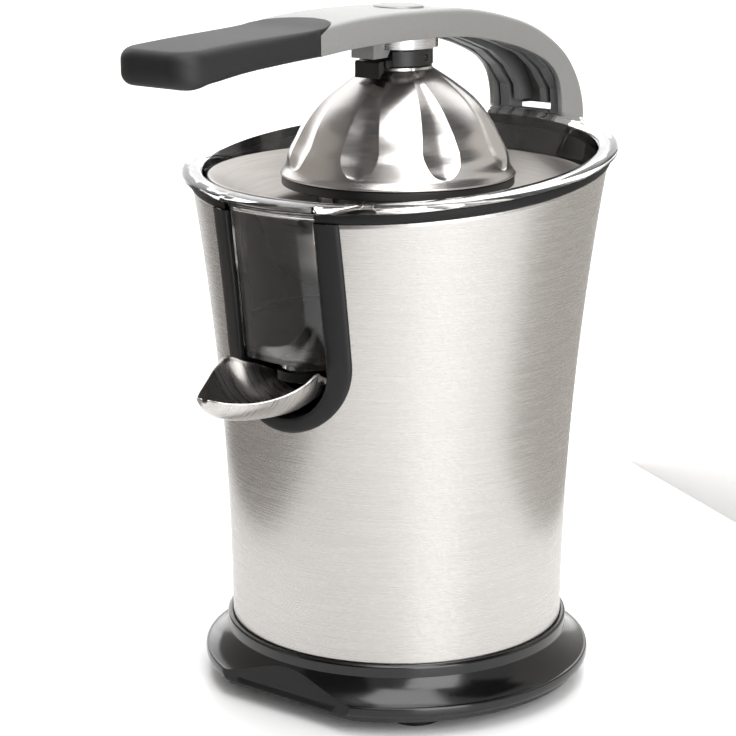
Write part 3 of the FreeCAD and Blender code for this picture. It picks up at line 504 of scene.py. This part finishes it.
def clear_plastic(name, roughness, tint):
    """Clear SAN: sharp bright edges and highlights, with faint flow waves from the mould."""
    material, shader = start_material(name, tint, roughness,
                                      extra={"IOR": 1.5, "Transmission Weight": 1.0})
    coords = add_node(material, "ShaderNodeTexCoord").outputs["Object"]
    flow = add_node(material, "ShaderNodeTexNoise", {"Scale": 60.0, "Detail": 2.0}, {"Vector": coords})
    bump = add_node(material, "ShaderNodeBump", {"Strength": 0.15, "Distance": 0.0006},
                    {"Height": flow.outputs["Fac"]})
    wear = add_node(material, "ShaderNodeMapRange",
                    {"To Min": max(roughness - 0.02, 0.0), "To Max": roughness + 0.03},
                    {"Value": flow.outputs["Fac"]})
    material.node_tree.links.new(bump.outputs[0], shader.inputs["Normal"])
    material.node_tree.links.new(wear.outputs[0], shader.inputs["Roughness"])
    return material


clear = clear_plastic("clear_moulded_bowl", 0.0, "#FFFFFF")
place(surface("clear_bowl", bowl, clear, wrap_u=True, wrap_v=True, sharp=40), "base_unit",
      "clear_bowl", "juice_bowl")
OUTLET_Y = -67.0
nozzle_line = rounded([(6.5, BOWL_FLOOR + 0.2, 0), (6.5, 149.2, 0.2), (8.5, 149.2, 0.4),
                       (8.5, BOWL_FLOOR, 0)])
nozzle = turned(nozzle_line, 65, at=(0, OUTLET_Y))
place(surface("bowl_nozzle", nozzle, clear, wrap_v=True, wrap_u=True), "base_unit", "clear_bowl",
      "juice_bowl")

# Strainer: pressed and spun stainless funnel that hangs on the bowl's ledge by a
# turned-down rim.
# Spun stainless: fine rings and a soft, slightly warm sheen round the funnel.
sieve_steel = grained("spun_stainless_strainer", "#B5B0AC", "#A19C97", 0.32, 0.6, 0.003,
                      stretch=(50, 50, 1), spread=0.05, detail=6.0, metallic=1.0,
                      extra={"Anisotropic": 0.6})
add_turning(sieve_steel)
sieve_line = np.vstack([
    rounded([(83.1, 226.3, 0), (83.1, 228.8, 0.6), (82.2, 229.0, 0.6), (61.3, 212.5, 3.0),
             (58.3, 205, 2), (57.3, 199.0, 0)]),
    arc_line((57.3, 198.9), (51.0, 188.6), (37, 185.1), 16),
    rounded([(36.9, 185.1, 0), (22.3, 185.1, 1.2), (20.8, 196, 0)])])
sieve = turned(sieve_line, 321)
place(surface("spun_strainer", sieve, sieve_steel, wrap_v=True, sharp=40, wall=0.8), "base_unit",
      "pressed_steel", "strainer")

# Reamer: black moulded cone with sharp ribs and a wide skirt, pushed on to the shaft's
# steel insert, which drives it.
RIBS = 12
RIB_HEIGHT = 3.0
RIB_HALF = 0.35              # of the way from a rib's middle to the valley
CONE_R = 34.0
CONE_LOW = 214.5
CONE_HEIGHT = 47.3
sleeve = np.array([(19.2, 197.0), (19.5, 210.0)])
brim = np.array([(40.4, 208.1), (41.0, 209.5), (40.2, 211.2)])
steps = np.linspace(0, 1, 40)
rise = steps * math.pi / 2
cone_r = np.concatenate([sleeve[:, 0], brim[:, 0], CONE_R * np.cos(rise) ** 0.82])
cone_z = np.concatenate([sleeve[:, 1], brim[:, 1], CONE_LOW + CONE_HEIGHT * np.sin(rise) ** 1.15])
round_cols = np.linspace(0, 2 * math.pi, 385)[:-1]
phase = np.abs(((round_cols / (2 * math.pi) * RIBS) % 1) - 0.5) * 2
ridge = np.clip(1 - phase / RIB_HALF, 0, 1) ** 1.3
lift = RIB_HEIGHT * np.sin(np.clip(steps * 1.08, 0, 1) * math.pi) ** 0.5
lift = np.concatenate([np.zeros(len(sleeve) + len(brim)), lift])
cone_reach = cone_r[:, None] + lift[:, None] * ridge[None]
cone = np.stack([cone_reach * np.cos(round_cols), cone_reach * np.sin(round_cols),
                 np.repeat(cone_z[:, None], len(round_cols), 1)], -1)
# Satin ABS: dark grey, with a thin soft light along each rib.
reamer_black = grained("moulded_reamer_black", "#1A1A1B", "#131314", 0.34, 1.2, 0.01, spread=0.05)
place(surface("ribbed_reamer", cone, reamer_black, wrap_v=True, sharp=40), "reamer",
      "black_reamer_plastic", "reamer_cone")

# Juice spout: pressed stainless scoop with a rolled bright edge, drawn to a lip and held
# by two pins in the bezel, on which it tips up to stop drips.
SPOUT_T = 1.1


def smooth_line(keys, count):
    """Evenly spread rows of a smooth curve through the key rows."""
    keys = np.asarray(keys, float)
    knots = np.concatenate([[0], np.cumsum(np.linalg.norm(np.diff(keys, axis=0), axis=1))])
    slope = np.gradient(keys, knots, axis=0)
    spots = np.linspace(0, knots[-1], count)
    i = np.clip(np.searchsorted(knots, spots, "right") - 1, 0, len(keys) - 2)
    h = (knots[i + 1] - knots[i])[:, None]
    t = (spots - knots[i])[:, None] / h
    ends = keys[i] * (1 + 2 * t) * (1 - t) ** 2 + keys[i + 1] * t ** 2 * (3 - 2 * t)
    return ends + h * (slope[i] * t * (1 - t) ** 2 + slope[i + 1] * t ** 2 * (t - 1))


scoop = smooth_line([  # reach, half width, rim height, keel height
    (65.5, 17.5, 150.0, 142.0), (73, 20, 153.4, 139.8), (80, 21.6, 156.0, 138.4),
    (86, 24.9, 158.6, 138.2), (94, 24.6, 155.4, 138.6), (104, 20.8, 152.0, 139.6),
    (114, 15.4, 150.6, 141.4), (121, 10.4, 151.0, 144.0), (125.5, 6.4, 151.8, 147.2),
    (127.6, 2.4, 152.4, 150.8)], 84)


def scoop_arc(half, deep, keel, cols):
    """Circular trough sections, one row each, from the left edge over the keel to the right."""
    bend = (half ** 2 + deep ** 2) / (2 * deep)
    swing = np.arctan2(half, bend - deep)[:, None] * cols[None]
    height = (keel + bend)[:, None] - bend[:, None] * np.cos(swing)
    return np.stack([bend[:, None] * np.sin(swing), height], -1)


cols = np.linspace(-1, 1, 29)
half, rim, keel = scoop[:, 1], scoop[:, 2], scoop[:, 3]
outside = scoop_arc(half, rim - keel, keel, cols)
inside = scoop_arc(half - SPOUT_T, rim - keel - SPOUT_T, keel + SPOUT_T, -cols)
bead = np.array([(0.12, 0.15), (-0.1, 0.5), (-0.55, 0.68), (-1.0, 0.5), (-1.22, 0.15)])  # edge
right_edge = np.stack([half[:, None] + bead[:, 0], rim[:, None] + bead[:, 1]], -1)
left_edge = right_edge[:, ::-1] * np.array([-1, 1])
loop = np.concatenate([outside, right_edge, inside, left_edge], 1)
facing = [inside[:, ::-1], right_edge[:, ::-1], outside[:, ::-1], left_edge[:, ::-1]]
middle = (loop + np.concatenate(facing, 1)) / 2
ends_y = -scoop[:, :1] + 0 * loop[..., 0]
trough = np.stack([loop[..., 0], ends_y, loop[..., 1]], -1)
caps = np.stack([middle[..., 0], ends_y, middle[..., 1]], -1)
LIP_ROUND = 0.35             # how far the lip's end stands out
caps[-1, :, 1] -= LIP_ROUND
trough = np.concatenate([caps[:1], trough, caps[-1:]])
# Polished stainless with lengthwise polishing lines: bright, with dark streaks inside.
spout_steel = grained("polished_spout_steel", "#CFCCC9", "#BFBBB7", 0.30, 0.7, 0.003,
                      stretch=(40, 1, 40), spread=0.06, detail=6.0, metallic=1.0)
place(surface("scoop_trough", trough, spout_steel, wrap_v=True, sharp=60), "spout",
      "pressed_steel", "juice_spout")

# Pressing dome: polished deep-drawn stainless shell with eight pressed flutes that narrow
# towards the neck; it closes over the black liner and the fruit.
DOME_TOP = 276.5
FLUTES = 8
FLUTE_TURN = math.radians(16.5)
FLUTE_HALF = 8.5             # half width where the flute is widest
FLUTE_TAPER = 0.174          # half width lost for each mm towards the neck
FLUTE_EDGE = 0.12            # half width left where it has run out
dome_side = smooth_line([(51.5, 229), (49.4, 232), (47.6, 238.5), (45.2, 243), (40.8, 251.6),
                         (34.2, 260.3), (23.5, 269), (15, 274.6)], 400)
run = np.concatenate([[0], np.cumsum(np.linalg.norm(np.diff(dome_side, axis=0), axis=1))])
low_end, widest = 4.2, 16.0  # mm along the side from the rim
swell = (1 - np.cos(np.linspace(0, math.pi / 2, 20))) ** 1.6
spots = np.concatenate([np.linspace(0, low_end, 6)[:-1], low_end + (widest - low_end) * swell,
                        np.linspace(widest, run[-1], 62)[1:]])
line = np.stack([np.interp(spots, run, dome_side[:, i]) for i in (0, 1)], 1)
lean = np.gradient(line, spots, axis=0)
lean /= np.linalg.norm(lean, axis=1)[:, None]
part = np.clip((widest - spots) / (widest - low_end), 0, 1)
flute_half = np.where(spots < widest, FLUTE_HALF * np.sqrt(np.maximum(1 - part ** 2.4, 0)),
                      FLUTE_HALF - FLUTE_TAPER * (spots - widest))
flute_half = np.maximum(flute_half, FLUTE_EDGE)
flute_deep = np.clip(flute_half - FLUTE_EDGE, 0, None) * 0.2
half_angle = flute_half / line[:, 0]
in_flute = np.linspace(-1, 1, 15)
in_lobe = np.linspace(0, 1, 12)[1:-1]
sector = 2 * math.pi / FLUTES
turn = np.hstack([in_flute[None] * half_angle[:, None],
                  half_angle[:, None] + in_lobe[None] * (sector - 2 * half_angle[:, None])])
sink = np.hstack([flute_deep[:, None] * (1 - np.abs(in_flute[None]) ** 1.7),
                  np.zeros((len(spots), len(in_lobe)))])
turn = np.hstack([turn + k * sector for k in range(FLUTES)]) + FLUTE_TURN
sink = np.tile(sink, FLUTES)
reach = line[:, :1] - lean[:, 1:] * sink
height = line[:, 1:] + lean[:, :1] * sink
crown = np.array([(14.6, 275.6), (13.9, 276.3), (12.8, DOME_TOP), (6.0, DOME_TOP), (0.01, DOME_TOP)])
reach = np.vstack([reach, np.repeat(crown[:, :1], turn.shape[1], 1)])
height = np.vstack([height, np.repeat(crown[:, 1:], turn.shape[1], 1)])
turn = np.vstack([turn, np.repeat(turn[-1:], len(crown), 0)])
dome = np.stack([reach * np.sin(turn), -reach * np.cos(turn), height], -1)
# Polished stainless: bright lobes and dark flutes, each with a highlight down its length.
dome_steel = grained("polished_stainless_dome", "#D2CECB", "#CDC9C6", 0.22, 0.4, 0.0003,
                     stretch=(30, 30, 1), spread=0.03, detail=3.0, metallic=1.0,
                     extra={"Anisotropic": 0.8})
add_turning(dome_steel)
place(surface("fluted_dome", dome, dome_steel, wrap_v=True, sharp=13, wall=1.0), "dome",
      "polished_dome_steel", "dome_shell")

# Dome liner: black moulded cup inside the steel shell, with a plain ring that shows below
# the shell's edge.
CUP_GAP = 3.1                # from the steel's outside to the cup's, clear of the flutes
CUP_WALL = 1.5
off = np.stack([-lean[:, 1], lean[:, 0]], 1)
cup_out = (line + off * CUP_GAP)[6:-3:3]
cup_in = (line + off * (CUP_GAP + CUP_WALL))[6:-3:3]
liner_line = np.vstack([
    rounded([(48.9, 229.0, 0), (48.9, 224.5, 0.5), (50.9, 224.5, 0.5), (50.9, 228.2, 0.2),
             (48.2, 230.2, 0)]),
    cup_out, [(13.0, 273.2), (0.01, 273.2), (0.01, 271.8), (13.0, 271.8)], cup_in[::-1],
    [(47.2, 230.0)]])
# Satin ABS: a plain black line under the bright shell.
liner_black = grained("moulded_liner_black", "#0B0B0C", "#080809", 0.4, 0.7, 0.006, spread=0.05)
place(surface("liner_cup", turned(liner_line, 193), liner_black, wrap_u=True, wrap_v=True, sharp=40),
      "dome", "black_inner_plastic", "dome_liner")

# Arm cover: silver-painted moulded channel, open below, that carries the dome at its middle
# and curves down at the back into two round cheeks on the hinge pin.
ARM_HALF = 20.5
EDGE_R = 2.4
SEAM_R = 20.506
SEAM_FADE = 0.16             # share of the arm over which the round seam straightens out
CHEEKS_FROM = 247.0          # height below which only the two cheeks go on
HINGE_Y, HINGE_Z = 108.0, 236.0
CHEEK_R = 10.0
top_keys = [(-78, 298.4), (-62, 300), (-46, 300.9), (-28, 301.1), (-9, 300.7), (8, 300.1),
            (24, 299), (39, 296.8), (54, 293.6), (70, 289.3), (84, 283.6), (95, 277.4),
            (103, 271.4), (109, 264.6), (113, 258.6), (116.6, 249.5), (118, 236)]
low_keys = [(-78, 287.3), (-62, 288.4), (-46, 288.9), (-28, 289.0), (-9, 288.7), (7, 288.2),
            (22, 287.0), (36, 285.0), (49, 282.4), (64, 278.6), (76, 274.5), (85.2, 270.5),
            (91.2, 266.1), (95, 261.5), (97.2, 255), (98.1, 248), (98, 236)]
ARM_ROWS = 600
top_line = smooth_line(top_keys, ARM_ROWS)
top_at = np.concatenate([[0], np.cumsum(np.linalg.norm(np.diff(top_keys, axis=0), axis=1))])
low_at = np.linspace(0, top_at[-1], ARM_ROWS)
low_line = np.stack([np.interp(low_at, top_at, [k[i] for k in low_keys]) for i in (0, 1)], 1)
low_line[1:-1] = (low_line[:-2] + 2 * low_line[1:-1] + low_line[2:]) / 4
for _ in range(60):          # rounds off the corners between the low keys
    low_line[1:-1] = (low_line[:-2] + low_line[2:]) / 2
way = np.linspace(0, 1, ARM_ROWS)


def arm_grid(stations, loop, slide=None):
    """Section loop carried along the arm; loop rows are x, depth in mm, share of the depth."""
    at = np.repeat(stations[:, None], len(loop), 1)
    if slide is not None:
        at = at + slide
    tops = np.stack([np.interp(at, way, top_line[:, i]) for i in (0, 1)], -1)
    lows = np.stack([np.interp(at, way, low_line[:, i]) for i in (0, 1)], -1)
    deep = np.linalg.norm(lows - tops, axis=-1)
    share = loop[None, :, 2] + loop[None, :, 1] / np.maximum(deep, 1e-6)
    spot = tops + (lows - tops) * share[..., None]
    return np.stack([np.repeat(loop[None, :, 0], len(stations), 0), spot[..., 0], spot[..., 1]], -1)


edge_turn = np.linspace(0, math.pi / 2, 8)
crown_edge = np.stack([ARM_HALF - EDGE_R + EDGE_R * np.cos(edge_turn),
                       EDGE_R - EDGE_R * np.sin(edge_turn), 0 * edge_turn], 1)
flank_out = np.array([(19.9, 0.0, 1.0), (20.4, -0.2, 1.0), (ARM_HALF, -0.7, 1.0),
                      (ARM_HALF, 0, 0.6), (ARM_HALF, 3.2, 0.0)])
flank_in = np.array([(17.9, 3.0, 0.0), (17.9, 0, 0.6), (17.9, -0.6, 1.0), (18.1, -0.1, 1.0),
                     (18.6, 0.0, 1.0)])
half_loop = np.vstack([flank_out, crown_edge, [(14.0, 0, 0), (8.0, 0, 0)]])
mirrored = np.array([-1, 1, 1])
left_half = half_loop[::-1] * mirrored
under = np.array([(-17.0, 3.0, 0.0), (0.0, 3.0, 0.0), (17.0, 3.0, 0.0)])
channel = np.vstack([half_loop, [(0, 0, 0)], left_half, flank_in[::-1] * mirrored, under, flank_in])
rear = ARM_ROWS // 2
stop = np.interp(-CHEEKS_FROM, -top_line[rear:, 1], way[rear:])
stations = np.concatenate([np.linspace(0, SEAM_FADE, 26)[:-1], np.linspace(SEAM_FADE, stop, 110)])
seam_y = np.sqrt(np.maximum(SEAM_R ** 2 - channel[:, 0] ** 2, 0))
per_mm = 1 / top_at[-1]
slide = seam_y[None] * per_mm * np.clip(1 - stations / SEAM_FADE, 0, 1)[:, None]
cover = arm_grid(stations, channel, slide)
# Each end is closed by folding the loop flat: a point meets the nearest in x on the wall's
# other side, which is at least NOT_NEAR points away round the loop.
NOT_NEAR = 12
count = np.arange(len(channel))
same_wall = np.abs(count[:, None] - count[None]) < NOT_NEAR
apart = np.abs(channel[:, None, 0] - channel[None, :, 0])
mate = np.argmin(apart + 1e3 * same_wall, axis=1)
ends = cover[[0, -1]]
ends = (ends + ends[:, mate]) / 2
cover = np.concatenate([ends[:1], cover, ends[1:]])
# Metallic paint on ABS: an even mid silver with a soft sheen and a fine sparkle.
arm_silver = grained("silver_painted_arm", "#A2A2A1", "#949493", 0.42, 0.35, 0.004, spread=0.05,
                     metallic=0.6)
place(surface("arm_channel", cover, arm_silver, wrap_v=True, sharp=40), "arm", "silver_arm_paint",
      "arm_cover")
turn = np.linspace(0, math.pi / 2, 14)[1:]
swing = np.stack([np.cos(turn), -np.sin(turn)], 1) * CHEEK_R
cheek_rows = np.linspace(stop, 1, 14)
hinge = np.array([HINGE_Y, HINGE_Z])
rear_end = (hinge + swing)[:, None]
front_end = (hinge + swing * np.array([-1, 1]))[:, None]
chord = np.maximum(2 * CHEEK_R * np.cos(turn)[:, None], 1.0)
for side, name in ((-1, "arm_cheek_left"), (1, "arm_cheek_right")):
    cheek = np.vstack([flank_out, crown_edge, [(18.2, 0.02, 0)], flank_in]) * [side, 1, 1]
    upper = arm_grid(cheek_rows, cheek)
    share = np.clip(cheek[None, :, 1] / chord + cheek[None, :, 2], 0, 1)
    spot = rear_end + (front_end - rear_end) * share[..., None]
    lower = np.stack([np.repeat(cheek[None, :, 0], len(turn), 0), spot[..., 0], spot[..., 1]], -1)
    place(surface(name, np.concatenate([upper, lower]), arm_silver, wrap_v=True, sharp=40), "arm",
          "silver_arm_paint", "arm_cover")

# Grip: charcoal soft-touch handle end, round-cornered in plan, with a round tongue that
# laps on to the arm's top.
GRIP_END = -157.0
CORNER = 12.0
GRIP_FROM = -78.0            # where the tongue starts
TONGUE_TIP = -58.2


def grip_outline(count):
    """Plan of the grip as (x, y) once round, and how round its edge is at each point."""
    side = np.linspace(GRIP_FROM, GRIP_END + CORNER, count)
    bend = np.linspace(0, math.pi / 2, count)[1:]
    right = np.stack([np.full(count, ARM_HALF), side], 1)
    corner = np.stack([ARM_HALF - CORNER + CORNER * np.cos(bend),
                       GRIP_END + CORNER - CORNER * np.sin(bend)], 1)
    front = np.stack([np.linspace(ARM_HALF - CORNER, 0, 6)[1:], np.full(5, GRIP_END)], 1)
    arc = np.linspace(0, math.pi / 2, 2 * count)[1:-1]
    tongue_r = SEAM_R - 0.2
    seam = np.stack([tongue_r * np.sin(arc), GRIP_FROM - 0.5 + tongue_r * np.cos(arc)], 1)
    half = np.vstack([[(0, TONGUE_TIP)], seam, right, corner, front])
    soft = np.concatenate([np.zeros(1 + len(seam)), np.ones(count + len(corner) + 5)])
    mirror = half[1:-1][::-1] * np.array([-1, 1])
    return np.vstack([half, mirror]), np.concatenate([soft, soft[1:-1][::-1]])


plan, soft = grip_outline(24)
ahead = np.roll(plan, -1, 0) - np.roll(plan, 1, 0)
inward = np.stack([ahead[:, 1], -ahead[:, 0]], 1) / np.linalg.norm(ahead, axis=1)[:, None]
GRIP_MIDDLE = np.array([0, -110])
inward *= np.sign((inward * (GRIP_MIDDLE - plan)).sum(1))[:, None]
edge_r = 0.3 + soft * (2.0 + 2.3 * np.clip((GRIP_FROM - plan[:, 1]) / 45, 0, 1))
for _ in range(14):          # the edge's radius changes gently from the tongue to the sides
    edge_r = (np.roll(edge_r, 1) + edge_r + np.roll(edge_r, -1)) / 3
grip_top = smooth_line([(-158, 295.4), (-139, 296.4), (-120, 297.2), (-99, 297.7), (-78, 298.4),
                        (-62, 300.0), (-50, 300.8)], 200)
grip_low = smooth_line([(-158, 285.4), (-154, 281.9), (-140, 282.7), (-120, 284.8), (-99, 286.2),
                        (-78, 287.3), (-62, 288.2), (-50, 288.9)], 200)
inner = plan + inward * edge_r[:, None]
core = np.stack([0 * plan[:, 0], np.clip(plan[:, 1], -143, -73)], 1)
rings = [(core + (inner - core) * share, 0 * edge_r) for share in (0.0, 0.3, 0.6, 0.85, 1.0)]
for angle in np.linspace(0, math.pi / 2, 9)[1:]:
    inset = edge_r * (1 - math.sin(angle))
    rings.append((plan + inward * inset[:, None], edge_r * (1 - math.cos(angle))))
top, low = [np.stack([np.column_stack([ring, np.interp(ring[:, 1], *face.T) - sign * drop])
                      for ring, drop in rings]) for face, sign in ((grip_top, 1), (grip_low, -1))]
body = np.concatenate([top, (2 * top[-1:] + low[-1:]) / 3, (top[-1:] + 2 * low[-1:]) / 3, low[::-1]])
# Soft-touch elastomer over nylon: matt charcoal with no clear highlight, only a pale bloom
# along its edges.
grip_soft = grained("soft_touch_charcoal", "#1C1C1D", "#171718", 0.55, 0.45, 0.02, spread=0.06,
                    extra={"Specular IOR Level": 0.4})
place(surface("grip_paddle", body, grip_soft, wrap_v=True, sharp=45), "arm", "soft_grip", "arm_grip")

# Arm cap: round painted plug, pushed into the arm's top over the boss screw.
cap_line = rounded([(0.01, 300.4, 0), (10.9, 300.4, 0), (10.9, 301.1, 0.4), (10.0, 301.5, 0.7),
                    (0.01, 301.6, 0)])
place(surface("cap_disc", turned(cap_line, 97), arm_silver, wrap_v=True, sharp=40), "arm",
      "silver_arm_paint", "arm_cap")

# Finishes of the pieces that keep their CAD shape, from the hinge to the drive: turned and
# pressed metal, moulded plastic, rubber, wire and wound copper.

# Turned alloy: fine bright rings.
boss_metal = grained("turned_boss_alloy", "#D4D3D2", "#C2C1C0", 0.26, 0.5, 0.003,
                     stretch=(30, 30, 1), spread=0.05, metallic=1.0)
add_turning(boss_metal)
dress(boss_metal, "dome_boss")
dress(arm_silver, "latch_bracket")
# Satin ABS: black with a soft edge light.
hub_black = grained("moulded_black_hub", "#111112", "#0C0C0D", 0.38, 0.7, 0.006, spread=0.05)
dress(hub_black, "dome_hub", "release_tab")
# Unpainted ABS: flat mid grey.
frame_grey = grained("moulded_grey_arm_frame", "#7C7D7E", "#707172", 0.45, 0.9, 0.01, spread=0.06)
dress(frame_grey, "arm_frame")
# Pressed and painted sheet: light grey with a dull metal sheen.
bracket_grey = grained("pressed_bracket_steel", "#A7A6A5", "#989796", 0.34, 0.8, 0.006,
                       spread=0.06, metallic=0.8)
dress(bracket_grey, "hinge_bracket")
# Ground steel: bright, with a narrow highlight along each pin.
ground = grained("ground_pin_steel", "#C4C3C2", "#B3B2B1", 0.22, 0.4, 0.002, stretch=(30, 30, 1),
                 metallic=1.0)
dress(ground, "hinge_pin", "spout_pins", "swivel_pin", "drive_shaft", "armature_shaft",
      "idler_axle", "reamer_insert")
# Zinc plate: cool grey with a slightly uneven gloss.
screw_zinc = grained("zinc_plated_screws", "#B9BABC", "#A2A4A6", 0.32, 0.6, 0.004, metallic=1.0)
dress(screw_zinc, "bracket_screws", "arm_screws", "boss_screw", "dome_screws", "gearbox_screws",
      "motor_screws", "plate_screws", "tie_rods", "friction_washers", "thrust_plate")
dress(black_rubber, "rubber_feet", "outlet_seal", "shaft_seal", "cord_gland")
# Textured polypropylene: dull dark grey.
inner_black = grained("moulded_black_inner", "#1D1D1E", "#161617", 0.46, 1.1, 0.012, spread=0.06)
dress(inner_black, "inner_carrier", "bottom_plate", "switch_body", "brush_holders")
# Sintered bronze: dull brown gold with fine pores.
bronze = grained("sintered_bronze_bush", "#A9814F", "#8E6A3D", 0.42, 0.3, 0.01, metallic=1.0)
dress(bronze, "tower_bush", "motor_bushes", "commutator")
# Drawn wire: smooth dark steel.
spring_wire = grained("drawn_spring_wire", "#8F9092", "#7A7B7D", 0.28, 0.3, 0.003, metallic=1.0)
dress(spring_wire, "return_spring")
# Enamelled copper: warm and glossy, with fine turns.
copper = grained("enamelled_copper_wire", "#A8602E", "#8A4A20", 0.30, 0.5, 0.02,
                 stretch=(1, 1, 8), metallic=0.9)
dress(copper, "field_windings")
# Stacked sheets: dull grey with fine level lines.
core_steel = grained("stacked_core_sheets", "#8C8B8A", "#6F6E6D", 0.45, 0.5, 0.01,
                     stretch=(20, 20, 1), metallic=0.9)
dress(core_steel, "armature_core", "motor_field")
# Zinc-coated sheet: pale grey with a faint spangle.
can_steel = grained("zinc_coated_motor_frame", "#A5A6A7", "#929394", 0.40, 2.5, 0.006, metallic=0.9)
dress(can_steel, "motor_frame", "motor_mount")
# Acetal: milky off-white with a waxy gloss.
gear_pale = grained("pale_acetal_gears", "#E3DFD2", "#D8D3C4", 0.38, 0.9, 0.004, spread=0.05)
dress(gear_pale, "idler_gear", "output_gear", "cooling_fan", "switch_plunger")
dress(ground, "motor_pinion")
# Glass-filled nylon: flat mid grey, a little mottled.
box_grey = grained("moulded_grey_gearbox", "#6F7275", "#63666A", 0.48, 1.2, 0.012, spread=0.06)
dress(box_grey, "gearbox_base", "gearbox_cover")
